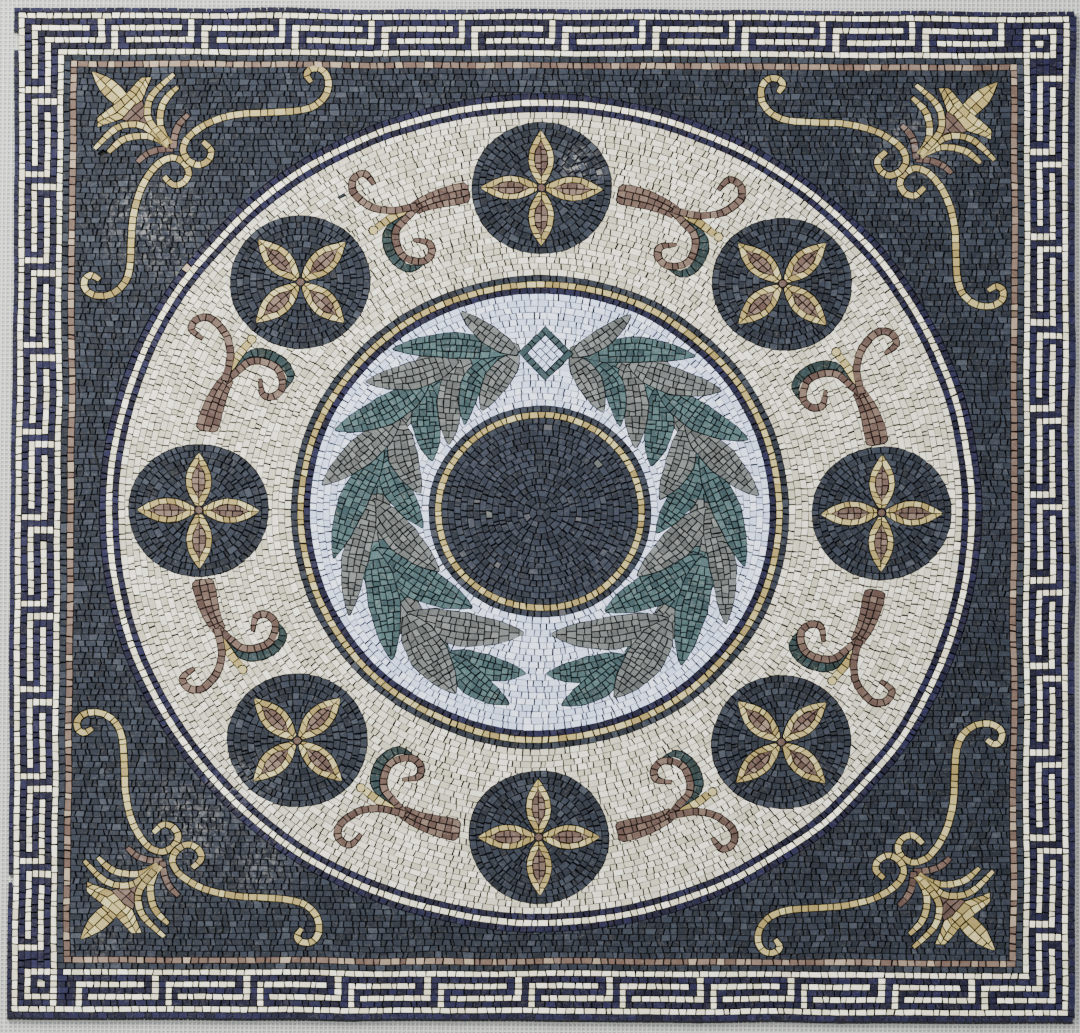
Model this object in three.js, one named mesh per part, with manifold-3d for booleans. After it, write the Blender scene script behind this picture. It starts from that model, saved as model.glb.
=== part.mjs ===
// Mosaic panel: hand-cut marble tesserae glued on a glass-fibre mesh.
// It lies on its back. Millimetres, X to the right, Y to the top of the picture, Z up out of the face.
// Each solid is one colour field or one motif, and stands for all the tesserae in it.
import * as THREE from 'three';
import { mergeVertices } from 'three/addons/utils/BufferGeometryUtils.js';
import Module from 'manifold-3d';

const wasm = await Module();
wasm.setup();

// Thicknesses, from the floor up
const meshThickness = 0.7;
const glueFilm = 0.3;
const tileThickness = 8;

// The joint between two fields, and the width of one row of tesserae
const joint = 1;
const rowPitch = 7.4;

// Widths from the middle of the roundel out to the edge of the mesh
const hubRadius = 113;
const whiteBandWidth = 136;
const creamBandWidth = 198.2;
const ringToBorder = 31.4;
const keyRows = 5;
const edgeRowWidth = 5.6;
const meshMargin = 28;

// The roundel was laid a little off the middle of the square
const roundelShift = new THREE.Vector2(-2, 0.5);

// Medallions and their flowers
const medallionCount = 8;
const medallionOuterGap = 11.7;
const medallionInnerGap = 25.5;
const petalCount = 4;
const petalTipGap = 9.5;
const petalWidth = 30;
const flowerHeart = 7;

// The lozenge between the ends of the wreath
const diamondHalfWidth = 31.5;
const diamondHalfHeight = 33.5;
const diamondShare = 0.467;
const diamondDrift = 5;

// Edge tesserae that have come off on the left side: place of each gap from the top, and its length
const edgeGaps = [
  [29, 23],
  [1048, 11],
];

// A round edge is drawn with flats that leave it by no more than this
const roundness = 2.4;

// Points that stand off a straight edge by less than this are left out
const flatness = 0.3;

const colours = {
  mesh: '#d9d9cf',
  navy: '#33355a',
  ivory: '#e3ddc4',
  slate: '#2e3946',
  rose: '#9b7a74',
  cream: '#d5cdb8',
  white: '#dcdfee',
  gold: '#c9ad74',
  green: '#4f7a74',
  hub: '#333640',
};

// Boundaries worked out from the widths
const hubGoldRadius = hubRadius + rowPitch;
const hubRimRadius = hubGoldRadius + rowPitch;
const innerRing = [0, 1, 2, 3].map((row) => hubRimRadius + whiteBandWidth + row * rowPitch);
const outerRing = [0, 1, 2, 3].map((row) => innerRing[3] + creamBandWidth + row * rowPitch);
const fieldHalf = outerRing[3] + ringToBorder;
const borderEdge = (row) => fieldHalf + row * rowPitch;
const roseEdge = borderEdge(1);
const slateEdge = borderEdge(2);
const innerLineEdge = borderEdge(3);
const keyEdge = borderEdge(3 + keyRows);
const outerLineEdge = borderEdge(4 + keyRows);
const panelHalf = outerLineEdge + edgeRowWidth;
const tileFloor = meshThickness + glueFilm;

// Outlines: closed lists of Vector2, counter-clockwise

function circle(radius) {
  const flats = 4 * Math.round(Math.PI / Math.acos(1 - roundness / radius) / 4);
  return Array.from({ length: flats }, (_, k) => {
    const angle = (k / flats) * 2 * Math.PI;
    return new THREE.Vector2(radius * Math.cos(angle), radius * Math.sin(angle));
  });
}

function square(half) {
  return [
    new THREE.Vector2(-half, -half),
    new THREE.Vector2(half, -half),
    new THREE.Vector2(half, half),
    new THREE.Vector2(-half, half),
  ];
}

function leftOf(direction) {
  return new THREE.Vector2(-direction.y, direction.x);
}

// Moves every side of an outline outwards by the same amount; a sharp tip moves by twice that at most
function grow(outline, amount) {
  const last = outline.length - 1;
  return outline.map((point, k) => {
    const before = outline[k === 0 ? last : k - 1];
    const after = outline[k === last ? 0 : k + 1];
    const sideIn = leftOf(point.clone().sub(before).normalize()).negate();
    const sideOut = leftOf(after.clone().sub(point).normalize()).negate();
    const mitre = sideIn.clone().add(sideOut).normalize();
    const stretch = Math.min(2, 1 / Math.max(0.1, mitre.dot(sideIn)));
    return point.clone().addScaledVector(mitre, amount * stretch);
  });
}

// Half widths spread evenly along a stroke
const spread = (values) => (share) => {
  const place = share * (values.length - 1);
  const before = Math.min(Math.floor(place), values.length - 2);
  return THREE.MathUtils.lerp(values[before], values[before + 1], place - before);
};

// A stroke along a smooth line through the path's points, drawn with so many flats on either side.
// Where its half width is zero at an end, it comes to a point.
function stroke(path, halfWidths, steps = path.length - 1) {
  const line = new THREE.SplineCurve(path);
  const halfWidth = spread(halfWidths);
  const left = [];
  const right = [];
  for (let k = 0; k <= steps; k += 1) {
    const share = k / steps;
    const side = leftOf(line.getTangent(share));
    const reach = halfWidth(share);
    const middle = line.getPoint(share);
    right.push(middle.clone().addScaledVector(side, -reach));
    if (reach > 0) left.unshift(middle.clone().addScaledVector(side, reach));
  }
  return [...right, ...left];
}

function turned(outline, angle) {
  return outline.map((point) => point.clone().rotateAround(new THREE.Vector2(), angle));
}

function moved(outline, shift) {
  return outline.map((point) => point.clone().add(shift));
}

// Left and right change places, and the order is turned round so that it stays counter-clockwise
function mirrored(outline) {
  return outline.map((point) => new THREE.Vector2(-point.x, point.y)).reverse();
}

// Solids

function toManifold(geometry) {
  const bare = geometry.clone();
  bare.deleteAttribute('normal');
  bare.deleteAttribute('uv');
  const merged = mergeVertices(bare, 1e-4);
  const vertProperties = new Float32Array(merged.attributes.position.array);
  const triVerts = new Uint32Array(merged.index.array);
  return new wasm.Manifold(new wasm.Mesh({ numProp: 3, vertProperties, triVerts }));
}

function slab(outline, floor, height) {
  const geometry = new THREE.ExtrudeGeometry(new THREE.Shape(outline), {
    depth: height,
    bevelEnabled: false,
  });
  return toManifold(geometry.translate(0, 0, floor));
}

// A motif is its outlines joined; each is drawn in by half a joint
function motif(outlines) {
  const solids = outlines.map((outline) => slab(grow(outline, -joint / 2), tileFloor, tileThickness));
  return solids.reduce((sum, next) => sum.add(next));
}

// What a motif takes out of the field around it is half a joint larger, and runs past both faces
function hollow(outlines) {
  const floor = tileFloor - tileThickness;
  const solids = outlines.map((outline) => slab(grow(outline, joint / 2), floor, 3 * tileThickness));
  return solids.reduce((sum, next) => sum.add(next));
}

// What is left of a field between two motifs is kept only where it is as large as a tessera
function withoutCrumbs(solid) {
  const tessera = rowPitch ** 2 * tileThickness;
  const pieces = solid.decompose().filter((piece) => piece.volume() > tessera);
  return pieces.reduce((sum, next) => sum.add(next));
}

const roundel = (outline) => moved(outline, roundelShift);

function ring(outerRadius, innerRadius) {
  const outer = roundel(circle(outerRadius));
  return motif([outer]).subtract(hollow([roundel(circle(innerRadius))]));
}

function frame(outerHalf, innerHalf) {
  return motif([square(outerHalf)]).subtract(hollow([square(innerHalf)]));
}

const panel = new THREE.Group();

function addNode(name, solid, colour, roughness = 0.55) {
  const { vertProperties, triVerts } = solid.asOriginal().simplify(flatness).getMesh();
  const geometry = new THREE.BufferGeometry();
  geometry.setAttribute('position', new THREE.BufferAttribute(vertProperties, 3));
  geometry.setIndex(new THREE.BufferAttribute(triVerts, 1));
  geometry.computeVertexNormals();
  const material = new THREE.MeshStandardMaterial({ color: colour, roughness, metalness: 0 });
  const mesh = new THREE.Mesh(geometry, material);
  mesh.name = name;
  panel.add(mesh);
}

// Mesh and border

addNode('mesh_backing', slab(square(panelHalf + meshMargin), 0, meshThickness), colours.mesh, 0.9);

// A stretch of the left edge row, from one distance below the panel's top to another
function leftEdge(from, to) {
  const outer = -panelHalf - joint;
  const inner = -outerLineEdge - joint / 2;
  return [
    new THREE.Vector2(outer, panelHalf - to),
    new THREE.Vector2(inner, panelHalf - to),
    new THREE.Vector2(inner, panelHalf - from),
    new THREE.Vector2(outer, panelHalf - from),
  ];
}

// Two gaps cut the row into two pieces: the stretch between them, and all the rest
const edgeRow = frame(panelHalf, outerLineEdge)
  .subtract(hollow(edgeGaps.map(([from, length]) => leftEdge(from, from + length))));
const betweenGaps = hollow([leftEdge(edgeGaps[0][0], edgeGaps[1][0])]);
addNode('edge_row', edgeRow.subtract(betweenGaps), colours.navy);
addNode('edge_row_left', edgeRow.intersect(betweenGaps), colours.navy);
addNode('outer_line', frame(outerLineEdge, keyEdge), colours.ivory);
addNode('key_band', frame(keyEdge, innerLineEdge), colours.navy);
addNode('inner_line', frame(innerLineEdge, slateEdge), colours.ivory);
addNode('slate_row', frame(slateEdge, roseEdge), colours.slate);
addNode('rose_row', frame(roseEdge, fieldHalf), colours.rose);

// Corner ornaments. Their points are millimetres in from the inner corner of the border: first along
// the top, then down from it. They are drawn for the top left corner and mirrored into the others.

const tendrilPath = [
  [268, 27], [264, 14], [277, 10], [287, 31], [269, 56.5], [191, 65],
  [143, 80], [121, 103], [131, 125], [151, 119], [143, 98],
];
const tendrilHalfWidths = [2, 3.8, 3.8, 3.8, 3.8, 3.8, 3.8, 3.8, 3.8, 2];

// The second tendril of a corner is the first with its two distances swapped, laid a little apart
const secondTendrilDrift = [0, -2];

// The lily grows from its foot towards the corner: first along its axis, then to one side
const lilyFoot = [102.5, 100.5];
const lilyHeart = [[0, -4], [32, -6], [57, -17], [70, -8], [70, 8], [57, 17], [32, 6], [0, 4]];
const lilyBlade = [[70, -12], [92, -10], [108, -6], [124, 0], [108, 6], [92, 10], [70, 12]];
const lilyPetal = [[60, 4], [57, 17], [63.5, 30], [69.5, 44], [78, 36], [77.5, 24], [76, 10], [72, 4]];
const lilyStraps = [
  [[-2, 0], [31, 4], [46, 14], [54.5, 32], [54, 65]],
  [[-2, 0], [22, 10], [38.5, 32], [40, 57]],
  [[-9, 0], [5, 19], [8, 42]],
];
const strapHalfWidths = [4, 4, 4, 4, 2.4];

// Each corner, with how far its ornament was laid from the mirrored place: along, then down
const corners = [
  { x: -1, y: 1, drift: [2, -8] },
  { x: 1, y: 1, drift: [0, 1] },
  { x: -1, y: -1, drift: [-3, 8] },
  { x: 1, y: -1, drift: [1, -1] },
];

// Puts a point of the top left corner's ornament in its place in any corner
function cornerPoint([along, down], { x, y, drift }) {
  const across = fieldHalf - along - drift[0];
  const upright = fieldHalf - down - drift[1];
  return new THREE.Vector2(x * across, y * upright);
}

// A shape mirrored once runs clockwise, so its points are taken the other way round
function counterClockwise(outline) {
  return THREE.ShapeUtils.isClockWise(outline) ? outline.reverse() : outline;
}

function tendril(corner, second) {
  const points = tendrilPath.map(([along, down]) => {
    const place = second ? [down + secondTendrilDrift[0], along + secondTendrilDrift[1]] : [along, down];
    return cornerPoint(place, corner);
  });
  return counterClockwise(stroke(points, tendrilHalfWidths));
}

function lily(corner) {
  const place = ([along, aside]) => cornerPoint([
    lilyFoot[0] - (along - aside) * Math.SQRT1_2,
    lilyFoot[1] - (along + aside) * Math.SQRT1_2,
  ], corner);
  const bothSides = (path) => [1, -1].map((side) => {
    return path.map(([along, aside]) => place([along, side * aside]));
  });
  const straps = lilyStraps.flatMap(bothSides).map((path) => stroke(path, strapHalfWidths));
  const petals = [lilyBlade.map(place), ...bothSides(lilyPetal)];
  return [lilyHeart.map(place), ...petals, ...straps].map(counterClockwise);
}

const tendrils = corners.flatMap((corner) => [tendril(corner, false), tendril(corner, true)]);
const lilies = corners.map((corner) => lily(corner));
tendrils.forEach((outline, index) => {
  addNode(`tendril_${index + 1}`, motif([outline]), colours.gold);
});
lilies.forEach((outlines, index) => {
  const besideTendrils = hollow(tendrils.slice(2 * index, 2 * index + 2));
  addNode(`lily_${index + 1}`, motif(outlines).subtract(besideTendrils), colours.gold);
});

const slateField = motif([square(fieldHalf)])
  .subtract(hollow([roundel(circle(outerRing[3]))]))
  .subtract(hollow([...tendrils, ...lilies.flat()]));
addNode('slate_field', withoutCrumbs(slateField), colours.slate);

// Rows around the cream band

addNode('outer_ring_navy_out', ring(outerRing[3], outerRing[2]), colours.navy);
addNode('outer_ring_ivory', ring(outerRing[2], outerRing[1]), colours.ivory);
addNode('outer_ring_navy_in', ring(outerRing[1], outerRing[0]), colours.navy);

// Medallions: a dark disc with a four-petalled flower, drawn upright in the middle and then placed

const medallionRadius = (creamBandWidth - medallionOuterGap - medallionInnerGap) / 2;
const medallionOrbit = outerRing[0] - medallionOuterGap - medallionRadius;
const petalLength = medallionRadius - petalTipGap;

function flower() {
  const notch = new THREE.Vector2(1, -1).setLength(flowerHeart);
  const right = new THREE.Vector2(petalLength / 2, -petalWidth / 2);
  const left = new THREE.Vector2(petalLength / 2, petalWidth / 2);
  const petal = [notch, right, new THREE.Vector2(petalLength, 0), left];
  return Array.from({ length: petalCount }, (_, k) => turned(petal, (k / petalCount) * 2 * Math.PI)).flat();
}

// The first medallion is at the top, and they run clockwise. The petals point up, down and sideways
// in every other medallion, and aslant in the rest.
const medallionPlaces = Array.from({ length: medallionCount }, (_, index) => {
  const angle = (index / medallionCount) * 2 * Math.PI;
  const centre = new THREE.Vector2(Math.sin(angle), Math.cos(angle)).multiplyScalar(medallionOrbit);
  return { centre, turn: index % 2 === 0 ? 0 : Math.PI / petalCount };
});
const discs = medallionPlaces.map(({ centre }) => roundel(moved(circle(medallionRadius), centre)));
const flowers = medallionPlaces.map(({ centre, turn }) => roundel(moved(turned(flower(), turn), centre)));
discs.forEach((disc, index) => {
  addNode(`medallion_${index + 1}`, motif([disc]).subtract(hollow([flowers[index]])), colours.slate);
  addNode(`flower_${index + 1}`, motif([flowers[index]]), colours.gold);
});

// Scrolls. A point is degrees clockwise from the scroll's start and a share of the cream band's width
// from its inner edge. Half widths are shares of the same width, spread evenly along a stroke. The
// starts are degrees from the medallion's middle, one for each scroll.

const scrollStarts = [13, 12.4, 13.7, 12.3, 13.5, 13.3, 14.3, 12.4];
const scrollStrokes = {
  club: {
    path: [[0, 0.554], [2.6, 0.559], [7.3, 0.557], [9.6, 0.547]],
    halfWidths: [0.0505, 0.0656, 0.0505, 0.0378],
  },
  hook: {
    path: [[9, 0.557], [13.1, 0.579], [16.3, 0.669], [17.1, 0.784], [15.5, 0.874], [13.8, 0.764]],
    halfWidths: [0.0212, 0.0212, 0.0212, 0.0212, 0.0202, 0],
  },
  spiral: {
    path: [
      [9, 0.554], [13.3, 0.487], [15.3, 0.382], [14.2, 0.253], [10.7, 0.239], [9.5, 0.315], [12.2, 0.378],
    ],
    halfWidths: [0.0212, 0.0212, 0.0212, 0.0212, 0.0212, 0.0182, 0],
  },
  back: {
    path: [[12.4, 0.516], [15.9, 0.457], [16.9, 0.334], [15.1, 0.227], [12.4, 0.214]],
    halfWidths: [0.005, 0.0277, 0.0303, 0.0277, 0.005],
  },
  wedge: { path: [[10.5, 0.552], [17.4, 0.531]], halfWidths: [0.0227, 0.0252] },
};

function bandPoint([degrees, share], start) {
  const angle = THREE.MathUtils.degToRad(start + degrees);
  const radius = innerRing[3] + share * creamBandWidth;
  return new THREE.Vector2(Math.sin(angle), Math.cos(angle)).multiplyScalar(radius);
}

function scroll(index) {
  const quarter = -Math.floor(index / 2) * (Math.PI / 2);
  return Object.values(scrollStrokes).map(({ path, halfWidths }) => {
    const points = path.map((place) => bandPoint(place, scrollStarts[index]));
    const outline = stroke(points, halfWidths.map((share) => share * creamBandWidth));
    return roundel(turned(index % 2 === 0 ? outline : mirrored(outline), quarter));
  });
}

const scrolls = Array.from({ length: medallionCount }, (_, index) => scroll(index));
const besideMedallions = hollow(discs);
scrolls.forEach((outlines, index) => {
  addNode(`scroll_${index + 1}`, motif(outlines).subtract(besideMedallions), colours.rose);
});

const creamBand = ring(outerRing[0], innerRing[3])
  .subtract(besideMedallions)
  .subtract(hollow(scrolls.flat()));
addNode('cream_band', withoutCrumbs(creamBand), colours.cream);

// Rows around the white band

addNode('inner_ring_dark', ring(innerRing[3], innerRing[2]), colours.slate);
addNode('inner_ring_gold', ring(innerRing[2], innerRing[1]), colours.gold);
addNode('inner_ring_navy', ring(innerRing[1], innerRing[0]), colours.navy);

// Wreath: pairs of leaves, each pair from one foot on the stem, running down from the diamond. A place
// is degrees from the top and a share of the white band's width from its inner edge. bow is how far a
// leaf's middle lies to the left of its straight line, and half is half its greatest width, both as
// shares of the same width.

const leafPairs = [
  {
    foot: [8, 0.47],
    outer: { tip: [21, 0.97], bow: 0.0221, half: 0.0882 },
    inner: { tip: [28.5, 0.09], bow: -0.0294, half: 0.114 },
  },
  {
    foot: [10.5, 0.5],
    outer: { tip: [41, 0.97], bow: -0.0515, half: 0.1176 },
    inner: { tip: [39.5, 0.07], bow: -0.125, half: 0.1029 },
  },
  {
    foot: [27.5, 0.58],
    outer: { tip: [52.5, 0.93], bow: 0.0368, half: 0.125 },
    inner: { tip: [52.5, 0.04], bow: -0.0221, half: 0.1176 },
  },
  {
    foot: [40, 0.55],
    outer: { tip: [67.5, 0.93], bow: 0.0441, half: 0.1324 },
    inner: { tip: [64, 0.08], bow: -0.0294, half: 0.1324 },
  },
  {
    foot: [55.5, 0.52],
    outer: { tip: [83, 0.91], bow: 0.0074, half: 0.1324 },
    inner: { tip: [81.5, 0.08], bow: -0.0515, half: 0.125 },
  },
  {
    foot: [68, 0.5],
    outer: { tip: [103.5, 0.85], bow: -0.0441, half: 0.125 },
    inner: { tip: [98.5, 0.06], bow: -0.0368, half: 0.125 },
  },
  {
    foot: [86.5, 0.48],
    outer: { tip: [120, 0.92], bow: -0.0441, half: 0.1176 },
    inner: { tip: [122, 0.06], bow: -0.0294, half: 0.1397 },
  },
  {
    foot: [104, 0.5],
    outer: { tip: [136.5, 0.87], bow: 0.0074, half: 0.1397 },
    inner: { tip: [146, 0.09], bow: -0.0368, half: 0.1691 },
  },
  {
    foot: [129.5, 0.52],
    outer: { tip: [156.5, 0.83], bow: -0.0147, half: 0.1691 },
    inner: { tip: [173, 0.15], bow: -0.0441, half: 0.1544 },
  },
  {
    foot: [148, 0.55],
    outer: { tip: [171.5, 0.79], bow: -0.0515, half: 0.125 },
    inner: { tip: [175.5, 0.5], bow: -0.0368, half: 0.125 },
  },
];
const leafProfile = [0.2, 0.85, 1, 0.68, 0];
const leafSteps = 3;
const stemHalfWidths = [0.0368, 0.0882, 0.2279, 0.2059, 0.1029, 0.1029, 0.1544, 0.1838, 0.1471, 0.0588];
const rightBranchTurn = THREE.MathUtils.degToRad(2.2);

function whitePoint([degrees, share]) {
  const angle = THREE.MathUtils.degToRad(degrees);
  const radius = hubRimRadius + share * whiteBandWidth;
  return new THREE.Vector2(-Math.sin(angle), Math.cos(angle)).multiplyScalar(radius);
}

function leaf(foot, { tip, bow, half }) {
  const start = whitePoint(foot);
  const end = whitePoint(tip);
  const aside = leftOf(end.clone().sub(start).normalize());
  const middle = start.clone().lerp(end, 0.5).addScaledVector(aside, bow * whiteBandWidth);
  const halfWidths = leafProfile.map((share) => share * half * whiteBandWidth);
  return stroke([start, middle, end], halfWidths, leafSteps);
}

const stem = stroke(
  leafPairs.map(({ foot }) => whitePoint(foot)),
  stemHalfWidths.map((share) => share * whiteBandWidth),
);
const leaves = leafPairs.flatMap(({ foot, outer, inner }) => [leaf(foot, outer), leaf(foot, inner)]);
const leftBranch = [stem, ...leaves];
const rightBranch = leftBranch.map((outline) => turned(mirrored(outline), -rightBranchTurn));

const diamondPlace = new THREE.Vector2(diamondDrift, hubRimRadius + diamondShare * whiteBandWidth);
function diamond(inset) {
  const across = diamondHalfWidth - inset;
  const upright = diamondHalfHeight - inset;
  const outline = [[across, 0], [0, upright], [-across, 0], [0, -upright]];
  return roundel(moved(outline.map(([x, y]) => new THREE.Vector2(x, y)), diamondPlace));
}
const diamondMiddle = diamond(rowPitch * Math.SQRT2);
addNode('diamond_frame', motif([diamond(0)]).subtract(hollow([diamondMiddle])), colours.green);
addNode('diamond_middle', motif([diamondMiddle]), colours.white);

const branches = { wreath_left: leftBranch.map(roundel), wreath_right: rightBranch.map(roundel) };
const besideDiamond = hollow([diamond(0)]);
Object.entries(branches).forEach(([name, outlines]) => {
  addNode(name, motif(outlines).subtract(besideDiamond), colours.green);
});

const whiteBand = ring(innerRing[0], hubRimRadius)
  .subtract(besideDiamond)
  .subtract(hollow(Object.values(branches).flat()));
addNode('white_band', withoutCrumbs(whiteBand), colours.white);

// Hub

addNode('hub_rim', ring(hubRimRadius, hubGoldRadius), colours.hub);
addNode('hub_gold', ring(hubGoldRadius, hubRadius), colours.gold);
addNode('hub_disc', motif([roundel(circle(hubRadius))]), colours.hub);

export default panel;
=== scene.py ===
import math
import random
import bpy
import numpy as np
from mathutils import Matrix, Vector, noise
from mathutils.geometry import delaunay_2d_cdt


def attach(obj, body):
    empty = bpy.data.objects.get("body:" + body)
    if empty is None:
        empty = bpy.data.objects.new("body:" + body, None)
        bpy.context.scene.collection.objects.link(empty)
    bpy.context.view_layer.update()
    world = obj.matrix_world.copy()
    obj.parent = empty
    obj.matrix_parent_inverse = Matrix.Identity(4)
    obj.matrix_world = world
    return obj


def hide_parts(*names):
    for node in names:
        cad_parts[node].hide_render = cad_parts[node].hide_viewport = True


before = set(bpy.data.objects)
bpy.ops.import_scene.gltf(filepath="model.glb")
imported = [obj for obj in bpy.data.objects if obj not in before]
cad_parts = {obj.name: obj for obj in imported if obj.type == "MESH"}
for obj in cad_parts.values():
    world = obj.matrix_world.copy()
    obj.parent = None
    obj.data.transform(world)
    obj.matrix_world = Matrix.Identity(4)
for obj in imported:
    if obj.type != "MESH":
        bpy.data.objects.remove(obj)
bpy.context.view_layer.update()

random.seed(41)

# All lengths are millimetres until a mesh is written. X runs right, Y up the picture, Z out of the face.

# The laying: heights through the panel, one row's width, and how the stones differ from each other
laying = {
    "glueTop": 1.0,
    "stoneThickness": 8.0,
    "joint": {"white": 0.42, "cream": 0.5, "motifs": 1.05, "others": 0.62},
    "endGape": (0.0, 0.75),
    "endGapeShare": 0.35,
    "rowPitch": 7.4,
    "stoneLength": 9.2,
    "edgeWear": 0.3,
    "wearDrop": 0.7,
    "cornerReach": 1.38,  # how far a corner is drawn in for each millimetre of its sides
    "cornerJitter": 0.24,
    "heightJitter": 0.22,
    "heightLimit": 0.5,
    "tiltJitter": 0.014,
    "handWander": 2.0,
    "wanderScale": 95.0,
}

# Widths from the middle of the roundel out to the edge of the mesh, as in the solids
plan = {
    "hubRadius": 113.0,
    "whiteBandWidth": 136.0,
    "creamBandWidth": 198.2,
    "ringToBorder": 31.4,
    "keyRows": 5,
    "edgeRowWidth": 5.6,
    "meshMargin": 28.0,
    "roundelShift": (-2.0, 0.5),
}

rowPitch = laying["rowPitch"]
stoneLength = laying["stoneLength"]
hubGoldRadius = plan["hubRadius"] + rowPitch
hubRimRadius = hubGoldRadius + rowPitch
innerRing = [hubRimRadius + plan["whiteBandWidth"] + k * rowPitch for k in range(4)]
outerRing = [innerRing[3] + plan["creamBandWidth"] + k * rowPitch for k in range(4)]
fieldHalf = outerRing[3] + plan["ringToBorder"]
roseEdge = fieldHalf + rowPitch
slateEdge = roseEdge + rowPitch
innerLineEdge = slateEdge + rowPitch
keyEdge = innerLineEdge + plan["keyRows"] * rowPitch
outerLineEdge = keyEdge + rowPitch
panelHalf = outerLineEdge + plan["edgeRowWidth"]
meshHalf = panelHalf + plan["meshMargin"]


# Lines and outlines

def add(a, b, scale=1.0):
    return (a[0] + b[0] * scale, a[1] + b[1] * scale)


def between(a, b, share):
    return (a[0] + (b[0] - a[0]) * share, a[1] + (b[1] - a[1]) * share)


def distance(a, b):
    return math.hypot(b[0] - a[0], b[1] - a[1])


def unit(a, b):
    length = max(distance(a, b), 1e-9)
    return ((b[0] - a[0]) / length, (b[1] - a[1]) / length)


# A line drawn on a little past both its ends, so that it surely crosses what it meets
def drawnOn(a, b, amount=0.4):
    return [add(a, unit(b, a), amount), add(b, unit(a, b), amount)]


def leftOf(direction):
    return (-direction[1], direction[0])


def turned(points, angle):
    c, s = math.cos(angle), math.sin(angle)
    return [(x * c - y * s, x * s + y * c) for x, y in points]


def moved(points, shift):
    return [(x + shift[0], y + shift[1]) for x, y in points]


def mirrored(points):
    return [(-x, y) for x, y in reversed(points)]


def roundel(points):
    return moved(points, plan["roundelShift"])


def polar(angle, radius):
    return (radius * math.cos(angle), radius * math.sin(angle))


def circle(radius, flats):
    return [polar(2 * math.pi * k / flats, radius) for k in range(flats)]


def square(half):
    return [(-half, -half), (half, -half), (half, half), (-half, half)]


# Signed area, plus when counter-clockwise
def area(outline):
    return 0.5 * sum(a[0] * b[1] - b[0] * a[1] for a, b in zip(outline, outline[1:] + outline[:1]))


def middle(outline):
    return (sum(p[0] for p in outline) / len(outline), sum(p[1] for p in outline) / len(outline))


def inside(point, outline):
    x, y = point
    hit = False
    for (ax, ay), (bx, by) in zip(outline, outline[1:] + outline[:1]):
        if (ay > y) != (by > y) and x < ax + (y - ay) * (bx - ax) / (by - ay):
            hit = not hit
    return hit


# A smooth line through all the points, as a list of places with so many flats between two of them
def smooth(path, flats):
    line = []
    for k in range(len(path) - 1):
        p0, p1, p2, p3 = path[max(k - 1, 0)], path[k], path[k + 1], path[min(k + 2, len(path) - 1)]
        for step in range(flats + (k == len(path) - 2)):
            t = step / flats
            place = []
            for axis in (0, 1):
                v0 = (p2[axis] - p0[axis]) / 2
                v1 = (p3[axis] - p1[axis]) / 2
                a = 2 * p1[axis] - 2 * p2[axis] + v0 + v1
                b = -3 * p1[axis] + 3 * p2[axis] - 2 * v0 - v1
                place.append(a * t ** 3 + b * t ** 2 + v0 * t + p1[axis])
            line.append(tuple(place))
    return line


def spread(values, share):
    place = min(max(share, 0.0), 1.0) * (len(values) - 1)
    before = min(int(place), len(values) - 2)
    return values[before] + (values[before + 1] - values[before]) * (place - before)


# Drops doubled points, and makes an outline run counter-clockwise
def tidyOutline(points):
    kept = [p for k, p in enumerate(points) if distance(p, points[k - 1]) > 0.15]
    return kept if area(kept) > 0 else kept[::-1]


# Joint places along a length: even lengths, each a little off
def jointPlaces(start, end, step, jitter=0.22):
    count = max(1, round((end - start) / step))
    size = (end - start) / count
    return [start + (k + random.uniform(-jitter, jitter) * (0 < k < count)) * size for k in range(count + 1)]


# A stroke knows its middle line, its length and its half width at any share of the path's points
class Stroke:
    def __init__(self, path, halfWidths, flats=6):
        self.line = smooth(path, flats)
        self.halfWidths = halfWidths
        self.reach = [0.0]
        for a, b in zip(self.line, self.line[1:]):
            self.reach.append(self.reach[-1] + distance(a, b))
        self.length = self.reach[-1]

    # The place at a length along the stroke and a share of the half width to its left
    def at(self, along, aside=0.0):
        along = min(max(along, 0.0), self.length)
        k = min(int(np.searchsorted(self.reach, along, side="right")) - 1, len(self.line) - 2)
        k = max(k, 0)
        rest = (along - self.reach[k]) / max(self.reach[k + 1] - self.reach[k], 1e-9)
        place = between(self.line[k], self.line[k + 1], rest)
        before = self.line[max(k - 1, 0)] if rest < 0.5 else self.line[k]
        after = self.line[k + 1] if rest < 0.5 else self.line[min(k + 2, len(self.line) - 1)]
        half = spread(self.halfWidths, (k + rest) / (len(self.line) - 1))
        return add(place, leftOf(unit(before, after)), aside * half)

    # A line along the stroke, at one share of its half width
    def lengthwise(self, start, end, aside, flats):
        return [self.at(start + (end - start) * k / flats, aside) for k in range(flats + 1)]

    # Lines across the stroke, one for each joint between its stones
    def joints(self, step):
        places = jointPlaces(0, self.length, step)[1:-1]
        return [[self.at(place, -1.2), self.at(place, 1.2)] for place in places]

    def outline(self, step=3.0):
        count = max(4, int(self.length / step))
        right = self.lengthwise(0, self.length, -1, count)
        left = self.lengthwise(0, self.length, 1, count)
        return tidyOutline(right + left[::-1])


# Stones: each is an outline with the name of its stone, collected under the solid it stands for

stones = {name: [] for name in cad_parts}

# Which shades of a stone went where: paler rose stones in the border row, darker green ones in the scrolls
toneSpans = {
    ("rose", "rose"): (0.4, 0.95),
    ("scroll", "rose"): (0.0, 0.7),
    ("lily", "rose"): (0.0, 0.6),
    ("flower", "rose"): (0.1, 0.8),
    ("scroll", "green"): (0.0, 0.25),
    ("wreath", "green"): (0.3, 1.0),
    ("diamond", "green"): (0.3, 0.6),
}


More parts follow.
